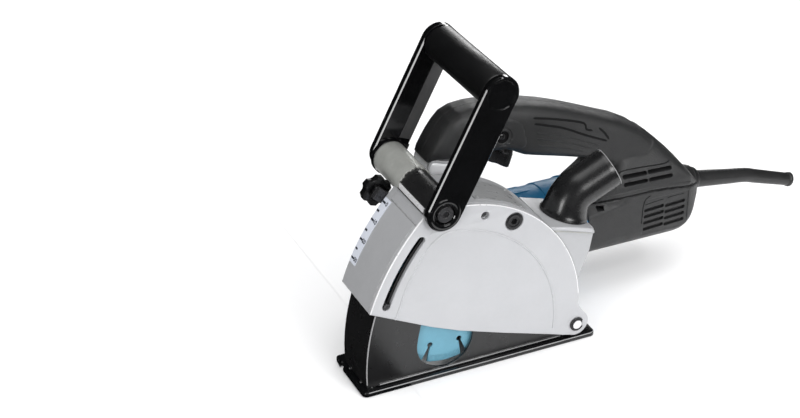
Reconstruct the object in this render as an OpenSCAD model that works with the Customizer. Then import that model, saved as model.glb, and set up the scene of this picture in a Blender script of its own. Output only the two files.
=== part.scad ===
// Wall chaser: twin diamond wheels in a plunging cast case on a slotted sole.
// Frame: -X is the direction of travel, +Y the motor side, +Z up, Z = 0 the sole.
// The origin lies on the sole, straight below the plunge pivot.

/* [Wheels] */
// Diameter of each diamond wheel
wheel_d = 115; // [105:0.5:115]
// Thickness of a wheel at its rim
wheel_t = 2.2; // [1.8:0.1:2.4]
// Number of expansion slots in a wheel
wheel_slots = 10; // [6:1:12]

/* [Sole and guard] */
// Thickness of the sole plate
plate_t = 4.2; // [3:0.1:4.2]
// Width of the guard channel over its two walls
guard_w = 43.9; // [42:0.1:43.9]
// Wall of the guard channel
guard_t = 2.2; // [1.6:0.1:2.2]

/* [Plunge] */
// Height of the plunge pivot over the sole
pin_z = 17.2; // [17:0.1:17.5]
// Radius of the pivot pin
pin_r = 4; // [3.5:0.1:4]

/* [Case] */
// Outer radius of the case front about the pivot
case_r = 195.5; // [195:0.1:196]
// Wall of the case casting
case_t = 3; // [2.5:0.1:3.2]

/* [Front grip] */
// Distance from the grip axis to the tube axis
grip_len = 102; // [95:1:105]
// Lean of the grip from the vertical
grip_lean = 26.8; // [20:0.1:30]
// Radius of the grip tube
tube_r = 14.2; // [13:0.1:14.4]

/* [Motor] */
// Outer radius of the motor barrel
barrel_r = 34; // [33:0.5:34]

/* [Hidden] */
$fn = 72;

silver = [0.80, 0.81, 0.82];
black = [0.07, 0.07, 0.08];
dark = [0.24, 0.24, 0.25];
blue = [0.10, 0.42, 0.60];
steel = [0.62, 0.64, 0.66];

// guard channel
gy0 = -23.4;             // outer face of the near wall
gy1 = gy0 + guard_w;     // outer face of the far wall
guard_r = 187;           // outer radius of its front wall about the pivot
guide_r = 183.4;         // radius of the guide pin and its slot
guide_a = 159.7;         // angle of the guide pin at rest
plunge = 18.7;           // plunge travel in degrees

// case
cy0 = -29;               // near face of the side cover
cyj = -25.2;             // joint between side cover and case
cy1 = 25;                // far face of the case
c2x = -117.4;            // centre of the round back of the case
c2z = 37.4;
c2r = 118.4;

// spindle and motor
sx = -115;               // spindle axis
sz = 66.7;
my = 56;                 // motor axis
wheel_near_y = -19.6;    // outer face of the near wheel
wheel_far_y = 10.4;      // outer face of the far wheel

// front grip axis
gx = -125.7;
gz = 155.9;
sleeve_r = 13.2;
cyl_r = 14.2;
arm_y0 = -37;            // near arm, outer face
arm_y1 = -29.8;
arm_y2 = 67.5;           // far arm, inner face
arm_y3 = 74.7;

// dust duct
dx = -1.6;               // centre of the duct mouth
dy = -2;
dz = 108.3;
dtilt = 17;              // the duct leans back by this much

// ---------- helpers ----------
module yex(y0, y1) translate([0, y1, 0]) rotate([90, 0, 0]) linear_extrude(height = y1 - y0) children();
module xex(x0, x1) translate([x0, 0, 0]) rotate([90, 0, 90]) linear_extrude(height = x1 - x0) children();
module ycyl(x, z, y0, y1, r) translate([x, y1, z]) rotate([90, 0, 0]) cylinder(r = r, h = y1 - y0);
module ycone(x, z, y0, y1, ra, rb) translate([x, y1, z]) rotate([90, 0, 0]) cylinder(r1 = rb, r2 = ra, h = y1 - y0);
module xcyl(x0, x1, y, z, r) translate([x0, y, z]) rotate([0, 90, 0]) cylinder(r = r, h = x1 - x0);
module xring(x0, x1, y, z, ro, ri) difference() { xcyl(x0, x1, y, z, ro); xcyl(x0 - 1, x1 + 1, y, z, ri); }
module yring(x, z, y0, y1, ro, ri) difference() { ycyl(x, z, y0, y1, ro); ycyl(x, z, y0 - 1, y1 + 1, ri); }
module box(a, b) translate(a) cube([b[0] - a[0], b[1] - a[1], b[2] - a[2]]);
function pol(r, a) = [r * cos(a), pin_z + r * sin(a)];
function arc(cx, cz, r, a0, a1, n) = [for (i = [0:n]) [cx + r * cos(a0 + (a1 - a0) * i / n), cz + r * sin(a0 + (a1 - a0) * i / n)]];
// sector of a ring about the pivot, in the (x, z) plane
module pin_sector(r0, r1, a0, a1) intersection() {
  translate([0, pin_z]) difference() { circle(r = r1, $fn = 180); circle(r = r0, $fn = 180); }
  translate([0, pin_z]) polygon([[0, 0], [260 * cos(a0), 260 * sin(a0)], [290 * cos((a0 + a1) / 2), 290 * sin((a0 + a1) / 2)], [260 * cos(a1), 260 * sin(a1)]]);
}
// region over the lower edge of the case
module over_edge(d = 0) polygon([[-250, 109 - d], [-184.9, 76.8 - d], [-131.7, 50.5 - d], [-107.6, 40.4 - d], [-66.6, 26.6 - d],
  [-24.5, 13.2 - d], [-6, 7.5 - d], [10, 7.5 - d], [40, 30], [40, 200], [-250, 200]]);
// outline of the case seen from the near side, shrunk by t
module case_2d(t = 0) intersection() {
  translate([0, pin_z]) circle(r = case_r - t, $fn = 240);
  translate([c2x, c2z]) circle(r = c2r - t, $fn = 240);
  over_edge(t > 0 ? 60 : 0);
}
module lug_2d() {
  translate([0, pin_z]) circle(r = 11.3);
  polygon([[-4, 42], [0.7, 42], [1.2, 36], [3.4, 31], [8.6, 24.5], [0, pin_z], [-10, pin_z]]);
}
// duct outline behind the seam
module duct_2d() polygon([[-33, 104], [-28.8, 116.6], [9.6, 104.85], [11.3, 103.7], [11.8, 101.8], [9, 85.8], [5, 74.5], [-0.7, 59.7], [-6, 50], [-60, 60], [-60, 100]]);
module duct_in_2d() polygon([[-60, 96], [-26, 101], [-22, 111], [8.4, 101.5], [6, 86.6], [2.2, 75.6], [-4.5, 58.5], [-30, 52], [-60, 60]]);
module duct_axis() translate([dx, dy, dz]) rotate([0, dtilt, 0]) children();

// ---------- sole and guard ----------
module base_plate() color(black) {
  difference() {
    linear_extrude(height = plate_t) polygon(concat(
      [[-192, 12.4], [-189.4, 12.9], [-189.4, 18.4], [-191, 19], [-191, 27.5], [-188.6, 30], [14, 30]],
      [[19, 25], [19, -25], [14.6, -29.4], [-188.4, -29.4], [-192, -25.8]]));
    // slot that the wheels plunge through
    translate([0, 0, -1]) linear_extrude(height = 10) {
      translate([-178, -20.6]) square([108, 38.2]);
    }
    // countersinks for the guard screws
    for (x = [-186.6, 12.5]) for (y = [-12, 9]) {
      translate([x, y, -1]) cylinder(r = 1.55, h = 10);
      translate([x, y, -0.01]) cylinder(r1 = 3.1, r2 = 1.5, h = 1.6);
    }
  }
  // outrigger rail under the motor side
  difference() {
    box([-150, 29, 0], [-2, 54, 3.4]);
    box([-140, 34, -1], [-84, 49, 10]);
    box([-76, 34, -1], [-12, 49, 10]);
  }
}
module guard_wall_2d() {
  difference() {
    union() {
      intersection() {
        translate([0, pin_z]) circle(r = guard_r, $fn = 240);
        polygon([[-250, plate_t], [8, plate_t], [8, 14], [-4, 25.6], [-20, 30], [-60, 44], [-100, 62], [-140, 80], pol(guard_r, 156.5), pol(220, 156.5), [-250, 100]]);
      }
      translate([0, pin_z]) circle(r = 8.8);
    }
    // wheel nut window
    translate([-118, 31]) circle(r = 24.8);
    pin_sector(94, 143.6, 173.3, 140);
  }
}
module inner_guard() color(dark) difference() {
  union() {
    yex(gy0, gy0 + guard_t) guard_wall_2d();
    yex(gy1 - guard_t, gy1) guard_wall_2d();
    // front wall
    yex(gy0, gy1) intersection() {
      pin_sector(guard_r - 2.3, guard_r, 156.5, 200);
      translate([-250, plate_t]) square([100, 120]);
    }
    // foot flanges
    box([-176, gy0 - 1.1, plate_t], [-12, gy0 + 0.5, plate_t + 1.8]);
    box([-176, gy1 - 0.5, plate_t], [-12, gy1 + 1.1, plate_t + 1.8]);
    // screw bosses at the rear
    box([8, gy0, plate_t], [16, gy1, plate_t + 3.2]);
    box([4, gy0, plate_t], [9, gy0 + guard_t, plate_t + 6]);
    box([4, gy1 - guard_t, plate_t], [9, gy1, plate_t + 6]);
  }
  ycyl(0, pin_z, gy0 - 5, gy1 + 5, pin_r + 0.05);
  ycyl(pol(guide_r, guide_a)[0], pol(guide_r, guide_a)[1], gy0 - 3, gy0 + 5, 2.6);
  for (x = [12.5]) for (y = [-12, 9]) translate([x, y, plate_t - 1]) cylinder(r = 1.5, h = 3.4);
}
module guard_screws() color(steel) for (x = [-186.6, 12.5]) for (y = [-12, 9]) translate([x, y, 0]) {
  cylinder(r1 = 3.05, r2 = 1.5, h = 1.55);
  cylinder(r = 1.5, h = x > 0 ? 6.4 : plate_t);
}
module guide_pin() color(steel) difference() {
  union() {
    ycyl(pol(guide_r, guide_a)[0], pol(guide_r, guide_a)[1], -29.3, -25.5, 2.6);
    ycyl(pol(guide_r, guide_a)[0], pol(guide_r, guide_a)[1], -25.6, gy0 - 0.1, 1.2);
    ycyl(pol(guide_r, guide_a)[0], pol(guide_r, guide_a)[1], gy0 - 0.15, gy0 + guard_t, 2.6);
  }
  ycyl(pol(guide_r, guide_a)[0], pol(guide_r, guide_a)[1], -30, -28.6, 1.2);
}

// ---------- case ----------
module slot_2d() {
  pin_sector(guide_r - 3.3, guide_r + 3.3, 140.9, guide_a);
  translate(pol(guide_r, 140.9)) circle(r = 3.3);
  translate(pol(guide_r, guide_a)) circle(r = 3.3);
}
module wheel_case() color(silver) difference() {
  union() {
    difference() {
      union() {
        yex(cyj, cy1) case_2d();
        yex(22, cy1) lug_2d();
        // duct body
        yex(cyj, 23) duct_2d();
        yex(-28, cyj + 0.1) difference() {
          duct_2d();
          translate([c2x, c2z]) circle(r = c2r + 0.25, $fn = 240);
        }
        // rim round the duct mouth
        yex(-29, 24) intersection() {
          polygon([[-27.6, 113.1], [-28.73, 116.67], [10, 104.88], [11.9, 103.5], [12.2, 101.6], [11.8, 100.8]]);
          difference() { square([400, 400], center = true); translate([c2x, c2z]) circle(r = c2r + 0.25, $fn = 240); }
        }
      }
      // hollow
      yex(cyj - 1, 22) difference() {
        case_2d(case_t);
        translate([gx, gz]) circle(r = sleeve_r + 3.4);
      }
      yex(-24.6, 20) duct_in_2d();
      // room for the guard ears round the pivot
      ycyl(0, pin_z, cyj - 1, 22, 11.6);
      box([-30, cyj - 1, -20], [20, 22, 20]);
      // mouth of the duct
      duct_axis() translate([0, 0, -16]) cylinder(r = 16.6, h = 30);
      duct_axis() translate([0, 0, -3.2]) cylinder(r = 18.9, h = 20);
    }
    // pillar for the cover bolt
    ycyl(-61.7, 130.2, cyj, 23, 6.5);
    // boss for the auxiliary grip thread
    ycyl(-87.5, 141.6, cyj, -14, 5.2);
    box([-92.4, cyj, 141.6], [-82.6, -14, 150]);
    // cross cylinder that carries the front grip
    ycyl(gx, gz, 21.6, 67.2, cyl_r);
    ycyl(gx, gz, arm_y1 + 0.3, 30, 8);
    // webs under the cross cylinder
    translate([gx - 3, 0, 0]) xex(0, 6) polygon([[24, 118], [25, 118], [64, 148], [64, 156], [24, 156]]);
    yex(cy1 - 0.5, cy1 + 4) intersection() {
      polygon([[-139, 150], [-112, 150], [-100, 112], [-150, 112]]);
      translate([0, pin_z]) circle(r = 181, $fn = 180);
    }
  }
  // saddle for the toothed sleeve
  difference() {
    ycyl(gx, gz, -40, 21.6, sleeve_r + 0.4);
    ycyl(gx, gz, -40, 22, 8);
  }
  // spindle nose opening
  ycyl(sx, sz, 21, 30, 14.05);
  // threads
  ycyl(-61.7, 130.2, cyj - 1, -4, 3.4);
  ycyl(-87.5, 141.6, cyj - 1, -15.5, 3.4);
  ycyl(gx, gz, arm_y1 - 1, -8, 4.05);
  ycyl(gx, gz, 50, 70, 4.05);
  ycyl(0, pin_z, 20, 30, pin_r);
  // gear housing screws
  for (a = case_screws) ycyl(sx + 24.5 * cos(a), sz + 24.5 * sin(a), 21, 30, 2.1);
  // shallow seat of the gear and motor housings
  intersection() {
    union() {
      xcyl(-100.3, -50, my, sz, 32.8);
      xcyl(-68.3, -56.7, my, sz, 36.8);
      xcyl(-57, 60, my, sz, barrel_r + 0.3);
    }
    box([-110, 23.45, 0], [60, 60, 140]);
  }
}
module side_cover() color(silver) difference() {
  union() {
    yex(cy0, cyj) difference() {
      union() { case_2d(); lug_2d(); }
      translate([gx, gz]) circle(r = sleeve_r + 0.4);
    }
    // embossed double line
    yex(cy0 - 0.35, cy0 + 0.1) intersection() {
      union() {
        difference() {
          intersection() { translate([-69.7, 62]) circle(r = 92.6, $fn = 180); translate([-126.5, 30.7]) circle(r = 105.2, $fn = 180); }
          intersection() { translate([-69.7, 62]) circle(r = 91.9, $fn = 180); translate([-126.5, 30.7]) circle(r = 104.5, $fn = 180); }
        }
        difference() {
          intersection() { translate([-69.7, 62]) circle(r = 95.4, $fn = 180); translate([-126.5, 30.7]) circle(r = 108, $fn = 180); }
          intersection() { translate([-69.7, 62]) circle(r = 94.8, $fn = 180); translate([-126.5, 30.7]) circle(r = 107.4, $fn = 180); }
        }
      }
      intersection() { case_2d(); polygon([[-250, 109], [-131.7, 52], [-66.6, 28.6], [-20, 14], [10, 30], [10, 200], [-250, 200]]); }
    }
  }
  yex(cy0 - 1, cyj + 1) slot_2d();
  // auxiliary grip thread
  ycyl(-87.5, 141.6, cy0 - 1, cyj + 1, 3.4);
  // cover bolt seat
  ycyl(-61.7, 130.2, cy0 - 1, cyj + 1, 4.2);
  ycone(-61.7, 130.2, cy0 - 0.01, cy0 + 3.2, 7.6, 4.2);
  ycyl(0, pin_z, cy0 - 1, cyj + 1, pin_r);
}
module cover_bolt() color(black) difference() {
  union() {
    ycyl(-61.7, 130.2, cy0 + 3, -6, 3.4);
    ycone(-61.7, 130.2, cy0 + 0.2, cy0 + 3.1, 7.4, 4.1);
  }
  translate([-61.7, cy0 + 2.4, 130.2]) rotate([90, 0, 0]) cylinder(r = 2.9, h = 4, $fn = 6);
}
// rubber lips behind the guide slot
module slot_seal() color([0.1, 0.1, 0.1]) yex(cyj + 0.02, cyj + 1.3) difference() {
  pin_sector(176, 190.5, 139.2, 161.2);
  pin_sector(guide_r - 1.55, guide_r + 1.55, 140.9, guide_a);
  translate(pol(guide_r, 140.9)) circle(r = 1.55);
  translate(pol(guide_r, guide_a)) circle(r = 1.55);
}
module top_plate() color([0.72, 0.73, 0.74]) intersection() {
  yex(-20, 14) translate([c2x, c2z]) difference() { circle(r = c2r + 0.6, $fn = 240); circle(r = c2r, $fn = 240); }
  box([-92, -21, 100], [-46, 15, 170]);
}
module depth_scale() color([0.85, 0.87, 0.89]) yex(14.6, 24.4) pin_sector(case_r, case_r + 0.5, 138.9, 156.4);
module pivot_pin() color(steel) difference() {
  ycyl(0, pin_z, -31.2, 27.4, pin_r);
  yring(0, pin_z, -30.6, -29.7, pin_r + 1, pin_r - 0.7);
  yring(0, pin_z, 25.7, 26.6, pin_r + 1, pin_r - 0.7);
}
module pin_clips() color(steel) for (y = [[-30.5, -29.8], [25.8, 26.5]]) difference() {
  ycyl(0, pin_z, y[0], y[1], 6.2);
  ycyl(0, pin_z, y[0] - 1, y[1] + 1, pin_r - 0.7);
  yex(y[0] - 1, y[1] + 1) translate([0, pin_z]) polygon([[0, -1.6], [9, -4], [9, 4], [0, 1.6]]);
}
module return_spring() color(steel) {
  n = 60; s = 8; turns = 6; r = 6.2; w = 0.75; p = 2.4;
  pts = [for (i = [0:n]) for (j = [0:s - 1]) let (a = 360 * turns * i / n, b = 360 * j / s)
    [(r + w * cos(b)) * cos(a), -p * turns / 2 + p * turns * i / n + w * sin(b), (r + w * cos(b)) * sin(a)]];
  translate([0, 0, pin_z]) polyhedron(points = pts, faces = concat(
    [[for (j = [0:s - 1]) j]],
    [for (i = [0:n - 1]) for (j = [0:s - 1]) [i * s + j, (i + 1) * s + j, (i + 1) * s + (j + 1) % s, i * s + (j + 1) % s]],
    [[for (j = [s - 1:-1:0]) n * s + j]]));
}

// ---------- gear case and motor ----------
// everything lower than d over the sole once the case is fully plunged
module under_plunged(d) translate([0, 0, pin_z]) rotate([0, 18.7, 0]) translate([0, 0, d - pin_z])
  box([-300, 15, -150], [300, 120, 0]);
module gear_housing() color(silver) difference() {
  union() {
    ycyl(sx, sz, 18.4, 26, 14);
    ycyl(sx, sz, 25, 80, 30);
    difference() {
      union() {
        xcyl(-100, -62, my, sz, 32.5);
        xcyl(-68, -62, my, sz, 36.5);
      }
      // flat against the case, and room for the cover
      box([-110, 10, 0], [-50, 23.55, 140]);
      ycyl(sx, sz, 80, 95, 27.7);
    }
    // pedestal under the rear handle
    yex(43, 69) polygon([[-103.2, 88], [-102.4, 146], [-101.9, 152], [-100.6, 155.2], [-98.8, 156.9], [-94, 156.2], [-86, 153.4], [-78, 152.2], [-63, 151.8], [-62, 88]]);
  }
  ycyl(sx, sz, 17, 27, 9.2);
  ycyl(sx, sz, 26, 37, 17.5);
  ycyl(sx, sz, 38, 81, 22.4);
  ycyl(sx, sz, 36.9, 38.1, 16);
  under_plunged(4.3);
  xcyl(-100, -79, my, sz, 12);
  xcyl(-74, -61, my, sz, 29);
  xcyl(-79.05, -70, my, sz, 11);
  // screws
  for (a = case_screws) ycyl(sx + 24.5 * cos(a), sz + 24.5 * sin(a), 24, 34, 1.7);
  for (a = cover_screws) ycyl(sx + 25 * cos(a), sz + 25 * sin(a), 70, 81, 1.5);
  // shaft lock bore
  translate([sx, 42.5, 80]) cylinder(r = 3.05, h = 20);
  translate([sx, 42.5, 93.9]) cylinder(r = 6.1, h = 6);
}
cover_screws = [55, 125, 195, 308];
case_screws = [20, 110, 200, 305];
module gear_cover() color(silver) difference() {
  union() {
    ycyl(sx, sz, 80, 84, 27.5);
    ycyl(sx, sz, 72, 80.1, 14);
  }
  ycyl(sx, sz, 71, 80, 9.5);
  under_plunged(4.3);
  for (a = cover_screws) ycyl(sx + 25 * cos(a), sz + 25 * sin(a), 79, 86, 1.7);
}
module gear_cover_screws() color(steel) {
  for (a = cover_screws) difference() {
    union() {
      ycyl(sx + 25 * cos(a), sz + 25 * sin(a), 72, 84.1, 1.5);
      ycyl(sx + 25 * cos(a), sz + 25 * sin(a), 84, 86, 2.4);
    }
    ycyl(sx + 25 * cos(a), sz + 25 * sin(a), 84.8, 87, 1.1);
  }
}
module bearing_y(y0, y1, ro, ri) {
  yring(sx, sz, y0, y1, ro, ro - 2.4);
  yring(sx, sz, y0, y1, ri + 2.2, ri);
  yring(sx, sz, y0 + 0.8, y1 - 0.8, ro - 2.4, ri + 2.2);
}
module bearing_near() color(steel) bearing_y(26, 37, 17.5, 7.55);
module bearing_far() color(steel) bearing_y(72.6, 80, 9.5, 5.05);
module bearing_x(x0, x1, ro, ri) {
  xring(x0, x1, my, sz, ro, ro - 2);
  xring(x0, x1, my, sz, ri + 1.8, ri);
  xring(x0 + 0.7, x1 - 0.7, my, sz, ro - 2, ri + 1.8);
}
module bearing_front() color(steel) bearing_x(-79, -71, 11, 5.05);
module bearing_rear() color(steel) bearing_x(92, 99, 9.5, 4.05);
module motor_housing() color(blue) difference() {
  union() {
    xcyl(-62, 38, my, sz, barrel_r);
    xcyl(-62, -57, my, sz, 36.5);
    xcyl(33, 38, my, sz, 35);
  }
  // flat against the case
  box([-63, 10, 0], [8, 23.55, 140]);
  xcyl(-63, 39, my, sz, barrel_r - 3);
  for (a = [45:90:320]) xcyl(-64, -56, my + 33.2 * cos(a), sz + 33.2 * sin(a), 1.6);
}
module field_stator() color(steel) difference() {
  union() {
    xring(-26, 28, my, sz, barrel_r - 3, 24.4);
    for (s = [-1, 1]) box([-32, my - 20, sz + s * 27.2 - 1.6], [34, my + 20, sz + s * 27.2 + 1.6]);
  }
  xcyl(-40, 40, my, sz, 24.4);
  difference() { xcyl(-40, 40, my, sz, 60); xcyl(-41, 41, my, sz, barrel_r - 3.05); }
}
// side outline of the rear motor cover, below the seam
module rear_low_2d() polygon(concat(
  [[38, 94.4], [38, 32.7], [120, 32.7]], arc(128, 52.7, 20, -90, 0, 12), [[150, 60], [152, 88]]));
function mirror_pts(h) = concat([for (p = h) [my - p[0], p[1]]], [for (i = [len(h) - 1:-1:0]) [my + h[i][0], h[i][1]]]);
module rear_section_2d(t = 0) polygon(mirror_pts([[7, 32.7 + t], [16, 36 + t], [23.4 - t * 0.5, 40 + t * 0.8], [28.8 - t * 0.7, 44 + t * 0.6], [32 - t, 48.2], [33 - t, 53], [33 - t, 97], [31.4 - t, 103.5], [28 - t, 110.4], [24 - t, 117.4], [20.6 - t, 124], [18.4 - t, 131]]));
module rear_housing() color(dark) difference() {
  intersection() {
    yex(20, 92) rear_low_2d();
    xex(38, 156) rear_section_2d();
    union() {
      box([30, 0, 0], [160, 120, 86]);
      translate([0, 0, 80]) linear_extrude(height = 30) handle_plan_2d();
    }
  }
  // motor room
  xcyl(37, 90, my, sz, 30.5);
  xcyl(89, 91.9, my, sz, 27);
  xcyl(89, 99.1, my, sz, 9.5);
  xcyl(103, 147, my, sz - 4, 25);
  // air slots on both sides
  for (i = [0:3]) for (k = [0, 1]) translate([95 + 20.8 * k, 0, 73.6 - 6 * i]) rotate([0, -2, 0]) box([0, 15, -1.1], [17.8, 36, 1.1]);
  for (i = [0:3]) for (k = [0, 1]) translate([95 + 20.8 * k, 0, 73.6 - 6 * i]) rotate([0, -2, 0]) box([0, 76, -1.1], [17.8, 97, 1.1]);
  // small window over the brush
  box([45.5, 15, 86.2], [51.8, 30, 90.2]);
  // brush holder pockets
  for (s = [-1, 1]) translate([0, my + s * 20, 0]) box([48.4, -11.3, sz - 5.1], [59.6, 11.3, sz + 5.1]);
  // cord entry
  xcyl(140, 160, my, 73.5, 9.05);
}
module brush_holders() color([0.75, 0.6, 0.3]) for (s = [-1, 1]) translate([0, my + s * 23, 0]) difference() {
  box([49, -8, sz - 4.5], [59, 8, sz + 4.5]);
  box([51, -9, sz - 2.6], [57, 9, sz + 2.6]);
}
module carbon_brushes() color([0.15, 0.15, 0.15]) for (s = [-1, 1]) translate([0, my + s * 21.6, 0])
  box([51.05, -8.2, sz - 2.55], [56.95, 8.2, sz + 2.55]);
// side outline of the rear handle
module handle_2d() polygon([[-99, 157.6], [-101.5, 155.6], [-104.3, 154.4], [-105.3, 156.5], [-104.8, 160], [-101.4, 167], [-97.4, 174], [-92.6, 181], [-87.2, 187.2], [-81, 190.8], [-74, 193],
  [-62, 194.2], [-48, 193.6], [-28, 190.6], [-8.7, 186.7], [10, 181.2], [29, 174.3], [49, 165.8], [69, 156], [90, 143.9], [110, 130.7], [124, 120.8], [136, 110.3],
  [144.5, 101], [152, 88], [56, 93.3], [62, 101], [66, 109], [66, 116], [61, 121.4], [50, 123.9], [15, 133.8], [-14, 141.4], [-18, 144], [-22, 149.5], [-50, 152.9], [-62, 152.2], [-78, 152.6], [-86, 153.8], [-94, 156.6]]);
// the corners of the nose are rounded in plan
module nose_corner_2d() polygon([[-120, 64], [-106.5, 64], [-104.2, 67.2], [-99.8, 71], [-92, 73.7], [-84, 74.2], [-84, 90], [-120, 90]]);
module handle_wide_2d() polygon([[38, 94.4], [152, 88], [144.5, 101], [136, 110.3], [124, 120.4], [110, 130], [84, 130.6], [76, 127], [69, 116], [64, 105], [54, 99], [44, 97]]);
// in plan the shoulders of the handle widen to the rear
module handle_plan_2d() polygon([[38, my - 22], [50, my - 27], [66, my - 32.2], [80, my - 33.1], [156, my - 33.1],
  [156, my + 33.1], [80, my + 33.1], [66, my + 32.2], [50, my + 27], [38, my + 22]]);
module handle_room_2d() polygon([[-94, 161.6], [-97, 165], [-88, 178], [-76, 187], [-48, 187.4], [-8.7, 180.4], [29, 168], [69, 149.6], [110, 124.4], [134, 103],
  [142, 92], [72, 96.5], [74, 108], [71, 124], [56, 130.6], [15, 140], [-17, 148.4], [-30, 157], [-50, 160.6], [-60, 161.6]]);
screw_at = [[-88, 170], [6, 165], [64, 134], [128, 104]];
module handle_half(s) difference() {
  union() {
    for (p = screw_at) ycyl(p[0], p[1], s < 0 ? my - 15 : my, s < 0 ? my : my + 15, 4.5);
    handle_shell(s);
  }
  for (p = screw_at) {
    ycyl(p[0], p[1], my - 13.6, my + 40, 1.85);
    if (s > 0) ycyl(p[0], p[1], my + 14, my + 50, 3.6);
  }
}
module handle_shell(s) difference() {
  union() {
    difference() {
      yex(s < 0 ? my - 18 : my, s < 0 ? my : my + 18) handle_2d();
      translate([0, 0, 140]) linear_extrude(height = 60) {
        nose_corner_2d();
        translate([0, 2 * my]) mirror([0, 1]) nose_corner_2d();
      }
    }
    intersection() {
      yex(s < 0 ? my - 33 : my, s < 0 ? my : my + 33) handle_wide_2d();
      xex(30, 160) rear_section_2d();
      translate([0, 0, 80]) linear_extrude(height = 60) handle_plan_2d();
    }
  }
  yex(s < 0 ? my - 14.6 : my - 1, s < 0 ? my + 1 : my + 14.6) handle_room_2d();
  intersection() {
    yex(s < 0 ? my - 29.5 : my - 1, s < 0 ? my + 1 : my + 29.5) polygon([[70, 90], [146, 84], [139, 100], [124, 113], [106, 123], [86, 123], [78, 118], [72, 104]]);
    xex(50, 150) rear_section_2d(3.4);
  }
  xcyl(36, 92, my, sz, 30.5);
  // trigger opening
  box([-56, my - 7.6, 120], [-19, my + 7.6, 162]);
  // switch lock button and its round recess
  if (s < 0) {
    ycyl(-38.5, 167.5, my - 30, my - 10, 3.4);
    ycyl(-38.5, 167.5, my - 30, my - 16.2, 8);
  }
  // upper air slots
  for (i = [0, 1]) for (k = [0, 1]) translate([73 + 24.6 * k, 0, 109.4 - 6.2 * i]) rotate([0, 2, 0]) box([0, s < 0 ? 15 : 76, -1.1], [22, s < 0 ? 36 : 97, 1.1]);
  // grip ribs
  for (i = [0:2]) translate([-8, 0, 160.6 - 5 * i]) rotate([0, 16.5, 0]) box([0, s < 0 ? my - 19 : my + 17.2, -0.6], [66, s < 0 ? my - 17.2 : my + 19, 0.6]);
  // trigger pin
  ycyl(-48.5, 154, my - 10, my + 10, 1.6);
}
module handle_near() color(dark) handle_half(-1);
module handle_far() color(dark) handle_half(1);
module handle_screws() color(steel) for (p = screw_at) difference() {
  union() {
    ycyl(p[0], p[1], my - 13.5, my + 14, 1.8);
    ycyl(p[0], p[1], my + 14, my + 16.4, 3.4);
  }
  ycyl(p[0], p[1], my + 15.2, my + 40, 1.5);
}
module trigger_pin() color(steel) ycyl(-48.5, 154, my - 9.8, my + 9.8, 1.55);
module switch_block() color([0.12, 0.12, 0.13]) difference() {
  union() {
    box([-30, my - 10, 160], [-4, my + 10, 176]);
    box([-18, my - 6, 154], [-8, my + 6, 161]);
  }
  box([-31, my - 2, 170], [-20, my + 2, 177]);
}
// the guard leans down 9.34 degrees on its first run, 18 degrees on its second
module guard_run1() translate([162, my, 72.2]) rotate([0, 99.34, 0]) children();
module guard_run2() translate([218.55, my, 62.9]) rotate([0, 108, 0]) children();
module cord_guard() color(black) difference() {
  union() {
    xcyl(143, 152.6, my, 73.5, 9);
    xcyl(152.3, 164, my, 73.5, 12.4);
    guard_run1() translate([0, 0, -3]) cylinder(r1 = 7.8, r2 = 6.6, h = 60.3);
    guard_run2() sphere(r = 7);
    guard_run2() cylinder(r1 = 6.5, r2 = 5.8, h = 51);
    guard_run2() translate([0, 0, 49.8]) cylinder(r = 6.7, h = 2.8);
  }
  xcyl(140, 162, my, 73.5, 4.6);
  guard_run1() cylinder(r = 4, h = 57.3);
  guard_run1() sphere(r = 4.8);
  guard_run2() sphere(r = 4.5);
  guard_run2() cylinder(r = 4, h = 60);
}

// ---------- spindle ----------
module spindle() color(steel) difference() {
  union() {
    ycyl(sx, sz, -24.4, 16, 7);
    ycyl(sx, sz, 16, 26, 8.6);
    ycyl(sx, sz, 26, 38, 7.5);
    ycyl(sx, sz, 38, 46, 7);
    ycyl(sx, sz, 46, 72, 6);
    ycyl(sx, sz, 71.9, 79.4, 5);
  }
  translate([sx, -20, sz]) rotate([90, 0, 0]) cylinder(r = 3.6, h = 6, $fn = 6);
}
module ring_gear() color(steel) difference() {
  union() {
    ycyl(sx, sz, 38.2, 49, 12);
    ycyl(sx, sz, 42, 49, 19.3);
    for (i = [0:29]) translate([sx, 0, sz]) rotate([0, 12 * i, 0]) translate([16.5, 48.9, 0])
      yex(0, 2.45) polygon([[-2.07, -0.44], [2.07, -0.56], [2.07, 0.56], [-2.07, 0.44]]);
  }
  ycyl(sx, sz, 37, 50, 7);
}
module inner_flange() color(steel) difference() {
  union() {
    ycyl(sx, sz, wheel_far_y, 16, 20);
    ycyl(sx, sz, wheel_far_y - wheel_t + 0.2, wheel_far_y + 1, 11.05);
  }
  ycyl(sx, sz, 5, 20, 7);
}
module wheel(y0) difference() {
  union() {
    ycyl(sx, sz, y0 + 0.25, y0 + wheel_t - 0.25, wheel_d / 2 - 1);
    yring(sx, sz, y0, y0 + wheel_t, wheel_d / 2, wheel_d / 2 - 8);
  }
  ycyl(sx, sz, y0 - 1, y0 + wheel_t + 1, 11.12);
  for (i = [0:wheel_slots - 1]) translate([sx, 0, sz]) rotate([0, 110 + 360 / wheel_slots * i, 0]) yex(y0 - 1, y0 + wheel_t + 1) {
    translate([42, 0]) circle(r = 1.9);
    polygon([[42, -0.6], [50, -0.7], [70, -3.4], [70, 3.4], [50, 0.7], [42, 0.6]]);
  }
}
module wheel_near() color([0.42, 0.63, 0.72]) wheel(wheel_near_y);
module wheel_far() color([0.42, 0.63, 0.72]) wheel(wheel_far_y - wheel_t);
module spacer_rings() color(steel) {
  difference() {
    union() {
      ycyl(sx, sz, wheel_near_y + wheel_t, -11, 17);
      ycyl(sx, sz, wheel_near_y + 0.2, -11, 11.05);
    }
    ycyl(sx, sz, -30, 0, 7);
  }
  yring(sx, sz, -11, -1, 17, 7);
  yring(sx, sz, -1, wheel_far_y - wheel_t, 17, 7);
}
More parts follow.
